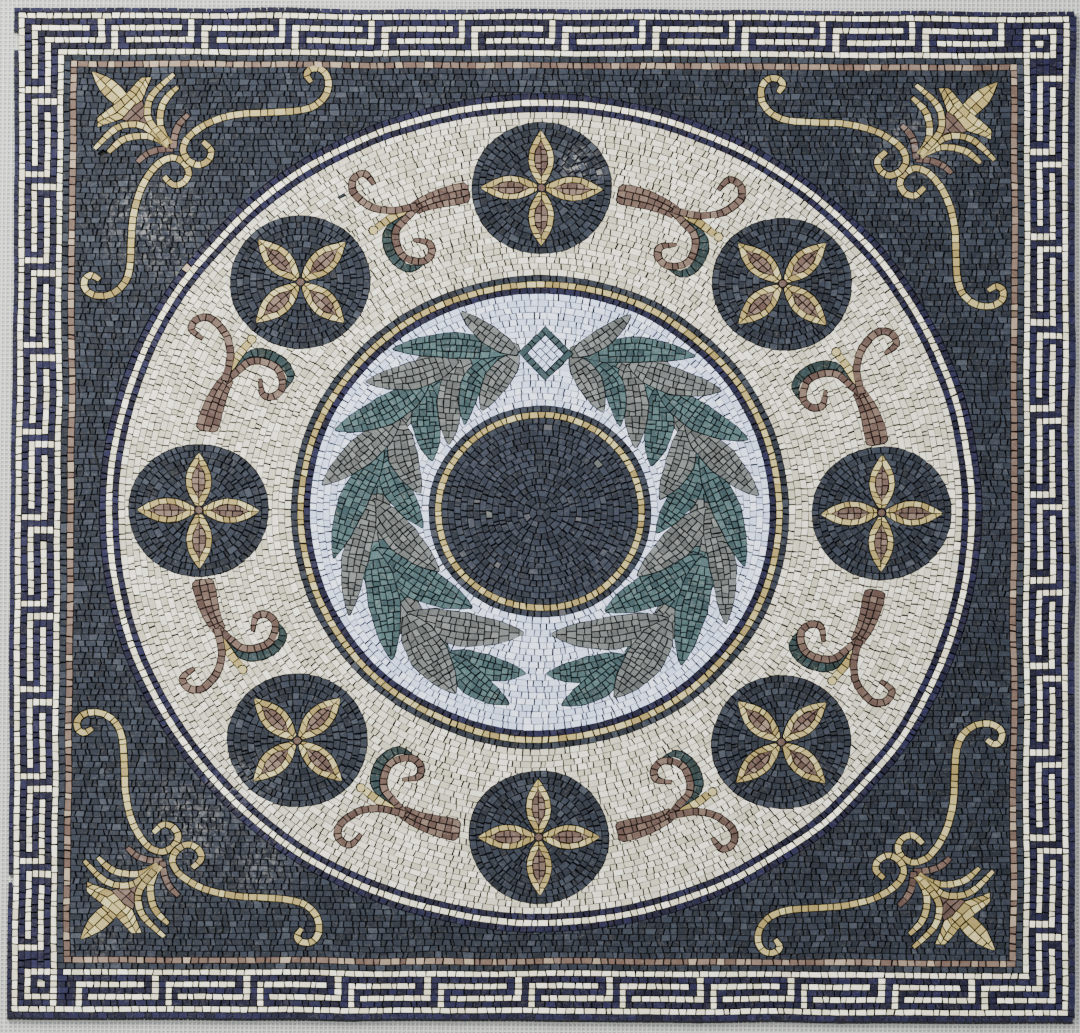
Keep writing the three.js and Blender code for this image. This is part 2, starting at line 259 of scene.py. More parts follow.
def lay(node, outline, stone, tone=None, course=None):
    if area(outline) < 0:
        outline = outline[::-1]
    if tone is None:
        low, high = toneSpans.get((node.split("_")[0], stone), (0.0, 1.0))
        tone = random.uniform(low, high)
    stones[node].append((outline, stone, tone, course))


def report(stage):
    print("stage", stage, sum(len(s) for s in stones.values()))


# Leaves out points that stand off the line between their neighbours by less than the given amount
def straightened(outline, amount):
    points = list(outline)
    k = 0
    while k < len(points) and len(points) > 3:
        a, p, b = points[k - 1], points[k], points[(k + 1) % len(points)]
        reach = distance(a, b)
        off = abs((b[0] - a[0]) * (a[1] - p[1]) - (a[0] - p[0]) * (b[1] - a[1])) / max(reach, 1e-6)
        along = (p[0] - a[0]) * (b[0] - a[0]) + (p[1] - a[1]) * (b[1] - a[1])
        if off < amount and -0.2 * reach ** 2 < along < 1.2 * reach ** 2 or distance(p, b) < 0.3:
            points.pop(k)
            k = max(k - 1, 0)
        else:
            k += 1
    return points


# Cuts the plane along the lines and outlines. Returns the corners, the cells inside keep and outside
# leave, and the sides that come from no line and were only put in to keep the cells simple.
def cutPlane(lines, keep, leave):
    places, index, edges = [], {}, []

    def number(point):
        key = (round(point[0], 3), round(point[1], 3))
        if key not in index:
            index[key] = len(places)
            places.append(Vector(key))
        return index[key]

    for line in lines:
        numbers = [number(point) for point in line]
        edges += [(a, b) for a, b in zip(numbers, numbers[1:]) if a != b]
    faces = [[number(point) for point in outline] for outline in (*keep, *leave)]
    corners, cellSides, cells, _, sideOrigins, origins = delaunay_2d_cdt(places, edges, faces, 4, 0.0005)
    kept = [
        cell for cell, origin in zip(cells, origins)
        if any(o < len(keep) for o in origin) and not any(o >= len(keep) for o in origin)
    ]
    madeUp = [side for side, origin in zip(cellSides, sideOrigins) if not origin]
    return [tuple(v) for v in corners], kept, madeUp


# The largest loop that the sides of a border make
def largestLoop(border, points):
    follow = {}
    for a, b in border:
        follow.setdefault(a, []).append(b)
    loops = []
    while follow:
        start = next(iter(follow))
        loop, here = [start], start
        while here in follow:
            ahead = follow[here].pop()
            if not follow[here]:
                del follow[here]
            if ahead == start:
                break
            loop.append(ahead)
            here = ahead
        loops.append([points[v] for v in loop])
    return max(loops, key=lambda loop: abs(area(loop))) if loops else []


# The pieces between the lines, inside keep and outside leave. A piece too small or thin to be a stone
# goes to the neighbour it shares most of its edge with.
def cutStones(lines, keep, leave=(), smallest=21.0, thinnest=1.5):
    points, cells, madeUp = cutPlane(lines, keep, leave)
    owner = {side: k for k, cell in enumerate(cells) for side in zip(cell, cell[1:] + cell[:1])}
    group = list(range(len(cells)))
    members = {k: [k] for k in group}
    areas = {k: abs(area([points[v] for v in cell])) for k, cell in enumerate(cells)}

    def join(gone, stays):
        for k in members[gone]:
            group[k] = stays
        members[stays] += members.pop(gone)
        areas[stays] += areas.pop(gone)

    def rim(g):
        own = set()
        for k in members[g]:
            cell = cells[k]
            own.update(zip(cell, cell[1:] + cell[:1]))
        return [(a, b) for a, b in own if (b, a) not in own]

    def isSliver(g):
        length = sum(distance(points[a], points[b]) for a, b in rim(g))
        return areas[g] < smallest or 2 * areas[g] / max(length, 1e-6) < thinnest

    for a, b in madeUp:
        one, other = owner.get((a, b)), owner.get((b, a))
        if one is not None and other is not None and group[one] != group[other]:
            join(group[other], group[one])
    waiting = sorted(members, key=lambda g: areas[g])
    largest = 3.4 * smallest + 30
    tries = 4 * len(cells) + 10
    while waiting and tries:
        tries -= 1
        g = waiting.pop(0)
        if g not in members or not isSliver(g):
            continue
        shared = {}
        for a, b in rim(g):
            other = owner.get((b, a))
            if other is not None and group[other] != g:
                shared[group[other]] = shared.get(group[other], 0) + distance(points[a], points[b])
        if not shared:
            continue
        best = max(shared, key=lambda o: shared[o] * (1.0 if areas[o] + areas[g] < largest else 0.55))
        join(g, best)
        if areas[best] < smallest * 1.2:
            waiting.append(best)
    outlines = [straightened(largestLoop(rim(g), points), 0.3) for g in members]
    return [
        outline if area(outline) > 0 else outline[::-1]
        for outline in outlines if len(outline) > 2 and abs(area(outline)) >= 6
    ]


# Cuts one outline into stones of one kind and lays them. What is laid later keeps clear of it.
def layCut(node, stone, outline, cuts, taken, **limits):
    for piece in cutStones(cuts, [outline], taken, **limits):
        lay(node, piece, stone)
    taken.append(outline)


# Courses: how much their lines waver and how often, how unevenly and how much askew their joints are
# cut, and how far the first and last one run past the field
courses = {"wobble": 0.45, "waves": 31.0, "uneven": 0.3, "slant": 0.5, "slantShare": 0.12, "runOut": 4.0}


# Lines of a brick-laid field. rows are the distances of its course lines, and place turns a length
# along a course and a distance across into a point. A closed course comes back to its start.
def courseLines(rows, start, end, place, stepAt, closed=False, look=courses):
    wobble, slant = look["wobble"], look["slant"]
    cuts = []
    rows = [rows[0] - courses["runOut"], *rows[1:-1], rows[-1] + courses["runOut"]]
    for low, high in zip(rows, rows[1:]):
        count = max(3, round((end - start) / stepAt((low + high) / 2)))
        size = (end - start) / count
        shift = random.uniform(0, size)
        row = []
        for k in range(count):
            at = start + shift + (k + random.uniform(-courses["uneven"], courses["uneven"])) * size
            lean = random.uniform(-slant, slant) * size * courses["slantShare"]
            row.append((at - lean, at + lean))
        cuts.append(row)
    waves = [random.uniform(0, 100) for _ in rows]

    def point(along, row):
        off = noise.noise(Vector((along / (end - start) * courses["waves"], waves[row], 0.3))) * wobble
        return place(along, rows[row] + off)

    lines = []
    for row in range(1, len(rows) - 1):
        marks = sorted([b for _, b in cuts[row - 1]] + [a for a, _ in cuts[row]])
        line = [point(at, row) for at in marks]
        lines.append(line + [line[0]] if closed else line)
    for row, cutRow in enumerate(cuts):
        lines += [[point(a, row), point(b, row + 1)] for a, b in cutRow]
    return lines


def evenRows(low, high, pitch=rowPitch):
    count = max(1, round((high - low) / pitch))
    return [low + (high - low) * k / count for k in range(count + 1)]


def ringLines(low, high, length, centre=(0, 0)):
    rows = evenRows(low, high)
    lines = courseLines(rows, 0, 2 * math.pi, polar, lambda radius: length / max(radius, 4), True)
    return [roundel(moved(line, centre)) for line in lines]


# The way a ring's course runs at a place
def around(point, centre=(0, 0)):
    return leftOf(unit(centre, point))


# Lays a round field in courses around its centre, and leaves out what is laid in it already
def layRound(node, stone, lines, outline, leave, centre=plan["roundelShift"]):
    for piece in cutStones(lines, [outline], leave):
        lay(node, piece, stone, course=around(middle(piece), centre))


# Lengths of the stones in the single rows around the roundel, where they aren't the usual one
ringStones = {"outer_ring_ivory": 9.6, "inner_ring_gold": 10.0, "hub_rim": 8.6, "hub_gold": 8.8}


def layRing(node, low, high, stone):
    count = round(2 * math.pi * high / ringStones.get(node, stoneLength))
    shift = random.random()
    cuts = [(k + shift + random.uniform(-0.2, 0.2)) / count * 2 * math.pi for k in range(count)]
    leans = [random.uniform(-0.6, 0.6) / high for _ in cuts]
    for k in range(count):
        n = (k + 1) % count
        a, b = cuts[k], cuts[n] + (2 * math.pi if n == 0 else 0)
        outline = [
            polar(a - leans[k], low),
            polar(a + leans[k], high),
            polar(b + leans[n], high),
            polar(b - leans[n], low),
        ]
        lay(node, roundel(outline), stone, course=around(middle(outline)))


# Border

border = {
    "unitsPerSide": 10,
    "firstUnit": 498.5,
    "lastUnit": 539.0,
    "ivoryTrim": 0.4,
    "stoneLength": 10.4,
    "uneven": 0.26,
    "lean": 0.5,
    "closeLaidUnder": 9,  # stretches shorter than this are laid without gaping ends
    "edgeSpread": {"top": 0.6, "left": 0.0, "right": 2.2, "bottom": 1.6},
    "edgeGaps": [(29, 23), (1048, 11)],  # bare mesh on the left: how far from the top, and how long
}
unitPitch = (border["firstUnit"] + border["lastUnit"]) / border["unitsPerSide"]

# Where a key row is ivory, in millimetres along one unit; rows run from the outer line inwards
keyUnit = [
    [(89, 96)],
    [(0, 82.5), (89, 96)],
    [(0, 8), (89, 96)],
    [(0, 8), (17, 96)],
    [(0, 8)],
]

# The same beyond the units, as distances from the panel's middle: towards the corner where the key
# turns, and towards the corner with the box
keyTurn = [
    [(505, 514)],
    [(505, 514), (523, 590)],
    [(505, 514)],
    [(505, 576)],
    [],
]
boxStart, boxEnd = slateEdge, slateEdge + 5 * rowPitch
boxWalls = [(boxStart, boxStart + rowPitch), (boxEnd - rowPitch, boxEnd)]
keyBox = [
    [],
    [(boxStart, boxEnd)],
    boxWalls,
    [boxWalls[0], (boxStart + 13.4, boxStart + 23.6), boxWalls[1]],
    boxWalls,
]

# Each side: the direction it is walked from the turning corner to the box, and the way outwards
sides = {
    "top": {"along": (1, 0), "out": (0, 1)},
    "left": {"along": (0, -1), "out": (-1, 0)},
    "right": {"along": (0, 1), "out": (1, 0)},
    "bottom": {"along": (-1, 0), "out": (0, -1)},
}


# Ivory stretches of one key row along a side, from -half at the turning corner to +half at the box
def ivoryStretches(row, side):
    stretches = [(-b, -a) for a, b in keyTurn[row]]
    for k in range(border["unitsPerSide"]):
        start = -border["firstUnit"] + k * unitPitch
        stretches += [(start + a, start + b) for a, b in keyUnit[row]]
    stretches += keyBox[row]
    if side == "bottom":
        stretches.append(boxWalls[0])
    return sorted(stretches)


# Where the mesh is bare, as distances up from the middle
gaps = [(panelHalf - start - length, panelHalf - start) for start, length in border["edgeGaps"]]


def isBare(point):
    return point[0] < -outerLineEdge and any(low < point[1] < high for low, high in gaps)


# The stretch between the two gaps is a solid of its own
def edgeNode(point):
    return "edge_row_left" if point[0] < -outerLineEdge and gaps[1][1] < point[1] < gaps[0][0] else "edge_row"


# A place on a side: how far along it, and how far out from the panel's middle
def sidePoint(side, at, reach):
    along, out = sides[side]["along"], sides[side]["out"]
    return (along[0] * at + out[0] * reach, along[1] * at + out[1] * reach)


# Lays one row of the border on one side, in its dark stone and along the stretches in its light one.
# The rows at the left and right end at the row's inner edge, and the others at cornerEnd.
def layBorderRow(node, side, low, high, cornerEnd, stretches, dark, light):
    end = low if side in ("left", "right") else cornerEnd
    marks = sorted({-end, end, *[mark for stretch in stretches for mark in stretch if -end < mark < end]})
    marks = [mark for k, mark in enumerate(marks) if k == 0 or mark - marks[k - 1] > 0.5]
    for a, b in zip(marks, marks[1:]):
        stone = light if any(s[0] - 0.6 <= a and b <= s[1] + 0.6 for s in stretches) else dark
        trim = border["ivoryTrim"] if stone == "ivory" else 0.0
        places = jointPlaces(a, b, border["stoneLength"], border["uneven"])
        leans = [0.0] + [random.uniform(-border["lean"], border["lean"]) for _ in places[1:-1]] + [0.0]
        closeLaid = node == "edge_row" or b - a < border["closeLaidUnder"]
        for k in range(len(places) - 1):
            outline = [
                sidePoint(side, places[k] - leans[k], low + trim),
                sidePoint(side, places[k] + leans[k], high - trim),
                sidePoint(side, places[k + 1] + leans[k + 1], high - trim),
                sidePoint(side, places[k + 1] - leans[k + 1], low + trim),
            ]
            place = middle(outline)
            if isBare(place):
                continue
            course = None if closeLaid else sides[side]["along"]
            lay(edgeNode(place) if node == "edge_row" else node, outline, stone, course=course)


for side in sides:
    gapEnds = []
    if side == "left":
        gapEnds = [(start - panelHalf, start + length - panelHalf) for start, length in border["edgeGaps"]]
    edge = panelHalf + border["edgeSpread"][side]
    layBorderRow("edge_row", side, outerLineEdge, edge, panelHalf, gapEnds, "navy", "navy")
    layBorderRow("outer_line", side, keyEdge, outerLineEdge, outerLineEdge, [], "ivory", "ivory")
    for row in range(plan["keyRows"]):
        high = keyEdge - row * rowPitch
        ivory = ivoryStretches(row, side)
        layBorderRow("key_band", side, high - rowPitch, high, high, ivory, "navy", "ivory")
    notch = [(slateEdge - 6.6, slateEdge)] if side == "bottom" else []
    layBorderRow("inner_line", side, slateEdge, innerLineEdge, innerLineEdge, notch, "ivory", "navy")
    layBorderRow("slate_row", side, roseEdge, slateEdge, slateEdge, [], "slate", "slate")
    layBorderRow("rose_row", side, fieldHalf, roseEdge, roseEdge, [], "rose", "rose")
report("border")

# Corner ornaments. Tendrils are drawn for the top left corner, first along the top from the border's
# inner corner, then down from it; lilies from their foot, first towards the corner, then to the side.

corner = {
    "tendril": [
        [268, 27], [262.5, 18], [266, 11], [275, 9], [283, 13.5], [287.5, 24], [286, 38], [279, 49],
        [268, 57], [251, 61.5], [220, 63.5], [191, 65], [157, 73], [130, 89], [120, 106], [125, 120],
        [138, 127], [150, 121], [153, 109], [143, 98],
    ],
    "tendrilHalf": [3.0] + [4.15] * 17 + [4.0, 3.3],
    "tendrilStone": 9.4,
    "secondDrift": (0, -2),
    "lilyFoot": (102.5, 100.5),
    "petal": [[60, 4], [57, 17], [63.5, 30], [69.5, 44], [78, 36], [77.5, 24], [76, 10], [72, 4]],
    "petalUnder": [[60, -9], [57, 17], [63.5, 30], [69.5, 44], [78, 36], [77.5, 24], [76, 10], [75, -9]],
    "petalMiddle": [[67, -12], [67, 16], [71, 30], [75, 43]],
    "petalJoints": (-12, 46, 9.5),
    "petalJointHalf": 10,
    "petalReach": 55,
    "blade": [
        [70, -9], [84, -11], [98, -10.5], [111, -6.5], [124, 0], [111, 6.5], [98, 10.5], [84, 11], [70, 9],
    ],
    "bladeMiddle": [(124, 0), (66, 0)],
    "bladeJoints": (68, 122, 10.5),
    "bladeJointHalf": 14,
    "straps": [
        [[-2, 0], [31, 4], [46, 14], [54.5, 32], [54, 65]],
        [[-2, 0], [22, 10], [38.5, 32], [40, 57]],
    ],
    "strapHalf": [4.1, 4.1, 4.1, 4.1, 2.6],
    "strapStone": 8.8,
    "calyx": [[-9, 0], [-1, 9], [5, 19], [8, 30], [8, 42]],
    "calyxHalf": [4.1, 4.1, 4.1, 4.0, 3.2],
    "calyxStone": 9.6,
    "heart": [[0, -4], [32, -6], [57, -17], [70, -8], [70, 8], [57, 17], [32, 6], [0, 4]],
    "heartMiddle": [(-5, 0), (75, 0)],
    "heartJoints": (12, 22, 33, 42, 51, 60),
    "heartJointHalf": 30,
    "roseFrom": 34,
    "missingStone": [(40.5, -66.0), (47.5, -66.5), (47.0, -58.5), (40.0, -58.0)],  # beside the first lily
}
cornerPlaces = [
    {"x": -1, "y": 1, "drift": (2, -8)},
    {"x": 1, "y": 1, "drift": (0, 1)},
    {"x": -1, "y": -1, "drift": (-3, 8)},
    {"x": 1, "y": -1, "drift": (1, -1)},
]


def cornerPoint(place, spot):
    across = fieldHalf - place[0] - spot["drift"][0]
    upright = fieldHalf - place[1] - spot["drift"][1]
    return (spot["x"] * across, spot["y"] * upright)


def lilyPoints(places, spot, sideways=1):
    lean = math.sqrt(0.5)
    x, y = corner["lilyFoot"]
    points = []
    for along, aside in places:
        aside = sideways * aside
        points.append(cornerPoint((x - (along - aside) * lean, y - (along + aside) * lean), spot))
    return points


def layTendrils(index, spot, taken):
    drift = corner["secondDrift"]
    for second in (False, True):
        path = [(p[1] + drift[0], p[0] + drift[1]) if second else tuple(p) for p in corner["tendril"]]
        stroke = Stroke([cornerPoint(p, spot) for p in path], corner["tendrilHalf"])
        node = f"tendril_{2 * index + 1 + second}"
        layCut(node, "gold", stroke.outline(), stroke.joints(corner["tendrilStone"]), taken)


def layLily(node, spot, taken):
    seam = corner["petalMiddle"]
    for shape, sideways in (("petalUnder", -1), ("petal", 1)):
        cuts = [lilyPoints(seam, spot, sideways)]
        for side in (-corner["petalJointHalf"], corner["petalJointHalf"]):
            for at in jointPlaces(*corner["petalJoints"]):
                share = (at - corner["petalJoints"][0]) / corner["petalReach"]
                foot, head = (spread([p[axis] for p in seam], share) for axis in (0, 1))
                cuts.append(drawnOn(*lilyPoints([(foot, head), (foot + side, head - 2)], spot, sideways)))
        layCut(node, "gold", tidyOutline(lilyPoints(corner[shape], spot, sideways)), cuts, taken)
    cuts = [lilyPoints(corner["bladeMiddle"], spot)]
    for aside in (-corner["bladeJointHalf"], corner["bladeJointHalf"]):
        for at in jointPlaces(*corner["bladeJoints"])[1:-1]:
            cuts.append(drawnOn(*lilyPoints([(at, 0), (at, aside)], spot)))
    layCut(node, "gold", tidyOutline(lilyPoints(corner["blade"], spot)), cuts, taken)
    arms = [(path, "strap", "gold") for path in corner["straps"]] + [(corner["calyx"], "calyx", "rose")]
    for path, kind, stone in arms:
        for sideways in (1, -1):
            stroke = Stroke(lilyPoints(path, spot, sideways), corner[kind + "Half"])
            layCut(node, stone, stroke.outline(), stroke.joints(corner[kind + "Stone"]), taken)
    half = corner["heartJointHalf"]
    cuts = [lilyPoints([(at, -half), (at, half)], spot) for at in corner["heartJoints"]]
    cuts.append(lilyPoints(corner["heartMiddle"], spot))
    heart = tidyOutline(lilyPoints(corner["heart"], spot))
    for piece in cutStones(cuts, [heart], taken):
        along = distance(middle(piece), lilyPoints([(0, 0)], spot)[0])
        lay(node, piece, "rose" if along > corner["roseFrom"] else "gold")
    taken.append(heart)


fieldLeave = [roundel(circle(outerRing[3], 600))]
for spotIndex, spot in enumerate(cornerPlaces):
    taken = []
    layTendrils(spotIndex, spot, taken)
    layLily(f"lily_{spotIndex + 1}", spot, taken)
    fieldLeave += taken
    if spotIndex == 0:
        fieldLeave.append(tidyOutline(lilyPoints(corner["missingStone"], spot)))
report("corners")

# Dark square field, in level courses

field = {"pitch": 7.3, "stoneLength": 8.9, "wobble": 1.1, "slant": 0.9, "overhang": 12}
fieldEnd = fieldHalf + field["overhang"]
fieldCourses = courseLines(
    evenRows(-fieldHalf, fieldHalf, field["pitch"]), -fieldEnd, fieldEnd,
    lambda along, across: (along, across), lambda across: field["stoneLength"], look=field,
)
for piece in cutStones(fieldCourses, [square(fieldHalf)], fieldLeave):
    lay("slate_field", piece, "slate", course=(1, 0))
report("field")

# Rows around the cream band

layRing("outer_ring_navy_out", outerRing[2], outerRing[3], "navy")
layRing("outer_ring_ivory", outerRing[1], outerRing[2], "ivory")
layRing("outer_ring_navy_in", outerRing[0], outerRing[1], "navy")

# Medallions and flowers

medallion = {
    "count": 8,
    "outerGap": 11.7,
    "innerGap": 25.5,
    "stoneLength": 8.4,
    "innermostRow": 4.0,
    "petals": 4,
    "petalTurn": 0.03,
    "tipGap": 9.5,
    "petalWidth": 30.0,
    "petalRoot": 0.07,
    "petalEdge": 7.2,
    "edgeStone": 9.0,
    "core": (0.2, 0.82),
    "coreStone": 9.6,
    "heartRadius": 5.2,
}
medallionRadius = (plan["creamBandWidth"] - medallion["outerGap"] - medallion["innerGap"]) / 2
medallionOrbit = outerRing[0] - medallion["outerGap"] - medallionRadius
petalLength = medallionRadius - medallion["tipGap"]


def petalHalf(share):
    bulge = max(0.0, math.sin(math.pi * min(max(share, 0.0), 1.0))) ** 0.9
    return max(0.0, medallion["petalWidth"] / 2 * bulge)


# Half the width of a petal's core, which ends blunt
def coreHalf(at):
    start, end = (petalLength * share for share in medallion["core"])
    taper = min(1.0, 6 * (at - start) / petalLength, 6 * (end - at) / petalLength)
    return max(0.0, petalHalf(at / petalLength) - medallion["petalEdge"]) * max(0.0, taper) ** 0.6


# One petal along +X, cut into its gold edge and its rose core
def petalPieces():
    root = medallion["petalRoot"]
    shares = [root + (1 - root) * k / 14 for k in range(15)]
    edge = [(petalLength * share, petalHalf(share)) for share in shares]
    outline = tidyOutline([(x, -y) for x, y in edge] + [(x, y) for x, y in reversed(edge)])
    start, end = (petalLength * share for share in medallion["core"])
    cuts = [[(0, 0), (petalLength * 1.05, 0)]]
    coreSides = []
    for sideways in (-1, 1):
        edgeJoints = jointPlaces(0.0, petalLength, medallion["edgeStone"])[1:-1]
        coreJoints = jointPlaces(start, end, medallion["coreStone"])[1:-1]
        places = [start + (end - start) * k / 12 for k in range(13)]
        places = sorted(places + coreJoints + [at for at in edgeJoints if start < at < end])
        coreSides.append([(at, sideways * coreHalf(at)) for at in places])
        for at in edgeJoints:
            foot = sideways * coreHalf(at) if start < at < end else 0
            cuts.append([(at, foot), (at + 1.5, sideways * (petalHalf(at / petalLength) + 2))])
        cuts += [[(at, 0), (at, sideways * coreHalf(at))] for at in coreJoints]
    core = tidyOutline(coreSides[0] + coreSides[1][::-1])
    pieces = cutStones(cuts + coreSides, [outline], smallest=13, thinnest=1.1)
    return [(piece, "rose" if inside(middle(piece), core) else "gold") for piece in pieces], outline


medallionDiscs = []
for index in range(medallion["count"]):
    angle = 2 * math.pi * index / medallion["count"]
    centre = (math.sin(angle) * medallionOrbit, math.cos(angle) * medallionOrbit)
    flower = f"flower_{index + 1}"
    taken = [roundel(moved(circle(medallion["heartRadius"], 8), centre))]
    lay(flower, taken[0], "rose", 0.2)
    for petal in range(medallion["petals"]):
        turn = (index % 2) * math.pi / 4 + petal * math.pi / 2
        turn += random.uniform(-medallion["petalTurn"], medallion["petalTurn"])
        pieces, outline = petalPieces()
        for piece, stone in pieces:
            lay(flower, roundel(moved(turned(piece, turn), centre)), stone)
        taken.append(roundel(moved(turned(outline, turn), centre)))
    disc = roundel(moved(circle(medallionRadius, 100), centre))
    medallionDiscs.append(disc)
    lines = ringLines(medallion["innermostRow"], medallionRadius, medallion["stoneLength"], centre)
    layRound(f"medallion_{index + 1}", "slate", lines, disc, taken, roundel([centre])[0])
report("medallions")

# Scrolls, as places in the cream band: degrees clockwise from the scroll's start, and the share of the
# band's width from its inner edge; then how wide the stroke is to each side of its middle

scroll = {
    "starts": [13, 12.4, 13.7, 12.3, 13.5, 13.3, 14.3, 12.4],
    "reaches": [1.05, 0.98, 0.99, 1.0, 1.02, 0.98, 1.0, 0.97],
    "stoneLength": 8.6,
    "wedgeEnd": (17.6, 0.531),
    "wedgeEndRadius": 5.6,
}
scrollStrokes = [
    {
        "stone": "rose",
        "rows": 1,
        "path": [
            [9, 0.557], [12.3, 0.576], [14.2, 0.607], [15.9, 0.661], [16.9, 0.736], [17.2, 0.803],
            [16.5, 0.853], [15.3, 0.872], [14.2, 0.855], [13.8, 0.775],
        ],
        "half": [4.3] * 7 + [4.1, 2.2],
    },
    {
        "stone": "rose",
        "rows": 1,
        "path": [
            [9, 0.554], [11.6, 0.509], [13.6, 0.482], [14.8, 0.437], [15.4, 0.369], [15.3, 0.308],
            [14.1, 0.261], [12.1, 0.231], [10.2, 0.249], [9.4, 0.287], [9.7, 0.329], [12.0, 0.372],
        ],
        "half": [4.3] * 9 + [4.0, 2.2],
    },
    {
        "stone": "rose",
        "rows": 3,
        "path": [[-0.2, 0.554], [0.4, 0.555], [2.1, 0.557], [4.7, 0.56], [7.3, 0.557], [9.6, 0.547]],
        "half": [8.5, 12.6, 13, 11.5, 9.5, 7.5],
    },
    {
        "stone": "gold",
        "rows": 1,
        "path": [[10.5, 0.552], [13.3, 0.552], [16.9, 0.532]],
        "half": [3.5, 5.0, 4.4],
    },
    {
        "stone": "green",
        "rows": 1,
        "path": [
            [11.6, 0.526], [14.4, 0.501], [16.1, 0.454], [16.9, 0.38],
            [16.8, 0.296], [15.3, 0.225], [12.4, 0.212],
        ],
        "half": [0.5, 5, 6, 6, 5.5, 5, 0.5],
    },
]


def bandPoint(place, index):
    angle = math.radians(scroll["starts"][index] + place[0] * scroll["reaches"][index])
    radius = innerRing[3] + place[1] * plan["creamBandWidth"]
    return (math.sin(angle) * radius, math.cos(angle) * radius)


# Every second scroll is the mirror image of the one before it
def scrollPlace(points, index):
    return roundel(turned(mirrored(points) if index % 2 else points, -(index // 2) * math.pi / 2))


creamLeave = list(medallionDiscs)
for index in range(medallion["count"]):
    node = f"scroll_{index + 1}"
    endStone = moved(circle(scroll["wedgeEndRadius"], 8), bandPoint(scroll["wedgeEnd"], index))
    endStone = tidyOutline(scrollPlace(endStone, index))
    lay(node, endStone, "gold", 0.7)
    taken = medallionDiscs + [endStone]
    for parts in scrollStrokes:
        stroke = Stroke([bandPoint(p, index) for p in parts["path"]], parts["half"])
        cuts = []
        for row in range(parts["rows"]):
            low = -1 + 2 * row / parts["rows"]
            high = low + 2 / parts["rows"]
            for at in jointPlaces(0, stroke.length, scroll["stoneLength"])[1:-1]:
                cuts.append(scrollPlace(drawnOn(stroke.at(at, low), stroke.at(at, high), 1.0), index))
            if row:
                cuts.append(scrollPlace(stroke.lengthwise(0, stroke.length, low, 12), index))
        outline = tidyOutline(scrollPlace(stroke.outline(), index))
        layCut(node, parts["stone"], outline, cuts, taken, smallest=14, thinnest=1.2)
    creamLeave += taken[medallion["count"]:]
report("scrolls")

# Cream band and the rows inside it

creamLeave.append(roundel(circle(innerRing[3], 320)))
creamLines = ringLines(innerRing[3], outerRing[0], 9.4)
layRound("cream_band", "cream", creamLines, roundel(circle(outerRing[0], 500)), creamLeave)
layRing("inner_ring_dark", innerRing[2], innerRing[3], "slate")
layRing("inner_ring_gold", innerRing[1], innerRing[2], "gold")
layRing("inner_ring_navy", innerRing[0], innerRing[1], "navy")
report("cream band")

# Wreath: pairs of leaves down the left branch; foot and tips as degrees from the top and the
# share of the white band's width from its inner edge, then how far the leaf bows left, and half its width

leafPairs = [
    ((8, 0.47), (21, 0.97, 3, 12), (28.5, 0.09, -4, 15.5)),
    ((10.5, 0.5), (41, 0.97, -7, 16), (39.5, 0.07, -17, 14)),
    ((27.5, 0.58), (52.5, 0.93, 5, 17), (52.5, 0.04, -3, 16)),
    ((40, 0.55), (67.5, 0.93, 6, 18), (64, 0.08, -4, 18)),
    ((55.5, 0.52), (83, 0.91, 1, 18), (81.5, 0.08, -7, 17)),
    ((68, 0.5), (103.5, 0.85, -6, 17), (98.5, 0.06, -5, 17)),
    ((86.5, 0.48), (120, 0.92, -6, 16), (122, 0.06, -4, 19)),
    ((104, 0.5), (136.5, 0.87, 1, 19), (146, 0.09, -5, 23)),
    ((129.5, 0.52), (156.5, 0.83, -2, 23), (173, 0.15, -6, 21)),
    ((148, 0.55), (171.5, 0.79, -7, 17), (175.5, 0.5, -5, 17)),
]
wreath = {
    "profile": [0.2, 0.85, 1, 0.68, 0.06],
    "stemHalf": [5, 12, 31, 28, 14, 14, 21, 25, 20, 8],
    "rightTurn": math.radians(2.2),
    "laneWidth": 7.6,
    "shortestZone": 7,
    "stoneLength": 7.8,
    "uneven": 0.3,
    "lean": 0.9,
}
whiteStone = 9.2


def whitePoint(place):
    angle = math.radians(place[0])
    radius = hubRimRadius + place[1] * plan["whiteBandWidth"]
    return (-math.sin(angle) * radius, math.cos(angle) * radius)


def leafStroke(foot, leaf):
    start, end = whitePoint(foot), whitePoint(leaf[:2])
    centre = add(between(start, end, 0.5), leftOf(unit(start, end)), leaf[2])
    return Stroke([start, centre, end], [share * leaf[3] for share in wreath["profile"]], 12)


# The stretches of a leaf that hold the same number of lanes side by side
def leafZones(stroke, steps=24):
    zones = []
    for k in range(steps):
        at = stroke.length * (k + 0.5) / steps
        lanes = max(1, round(distance(stroke.at(at, -1), stroke.at(at, 1)) / wreath["laneWidth"]))
        end = stroke.length * (k + 1) / steps
        if zones and (zones[-1][2] == lanes or zones[-1][1] - zones[-1][0] < wreath["shortestZone"]):
            zones[-1][1] = end
        else:
            zones.append([stroke.length * k / steps, end, lanes])
    return zones


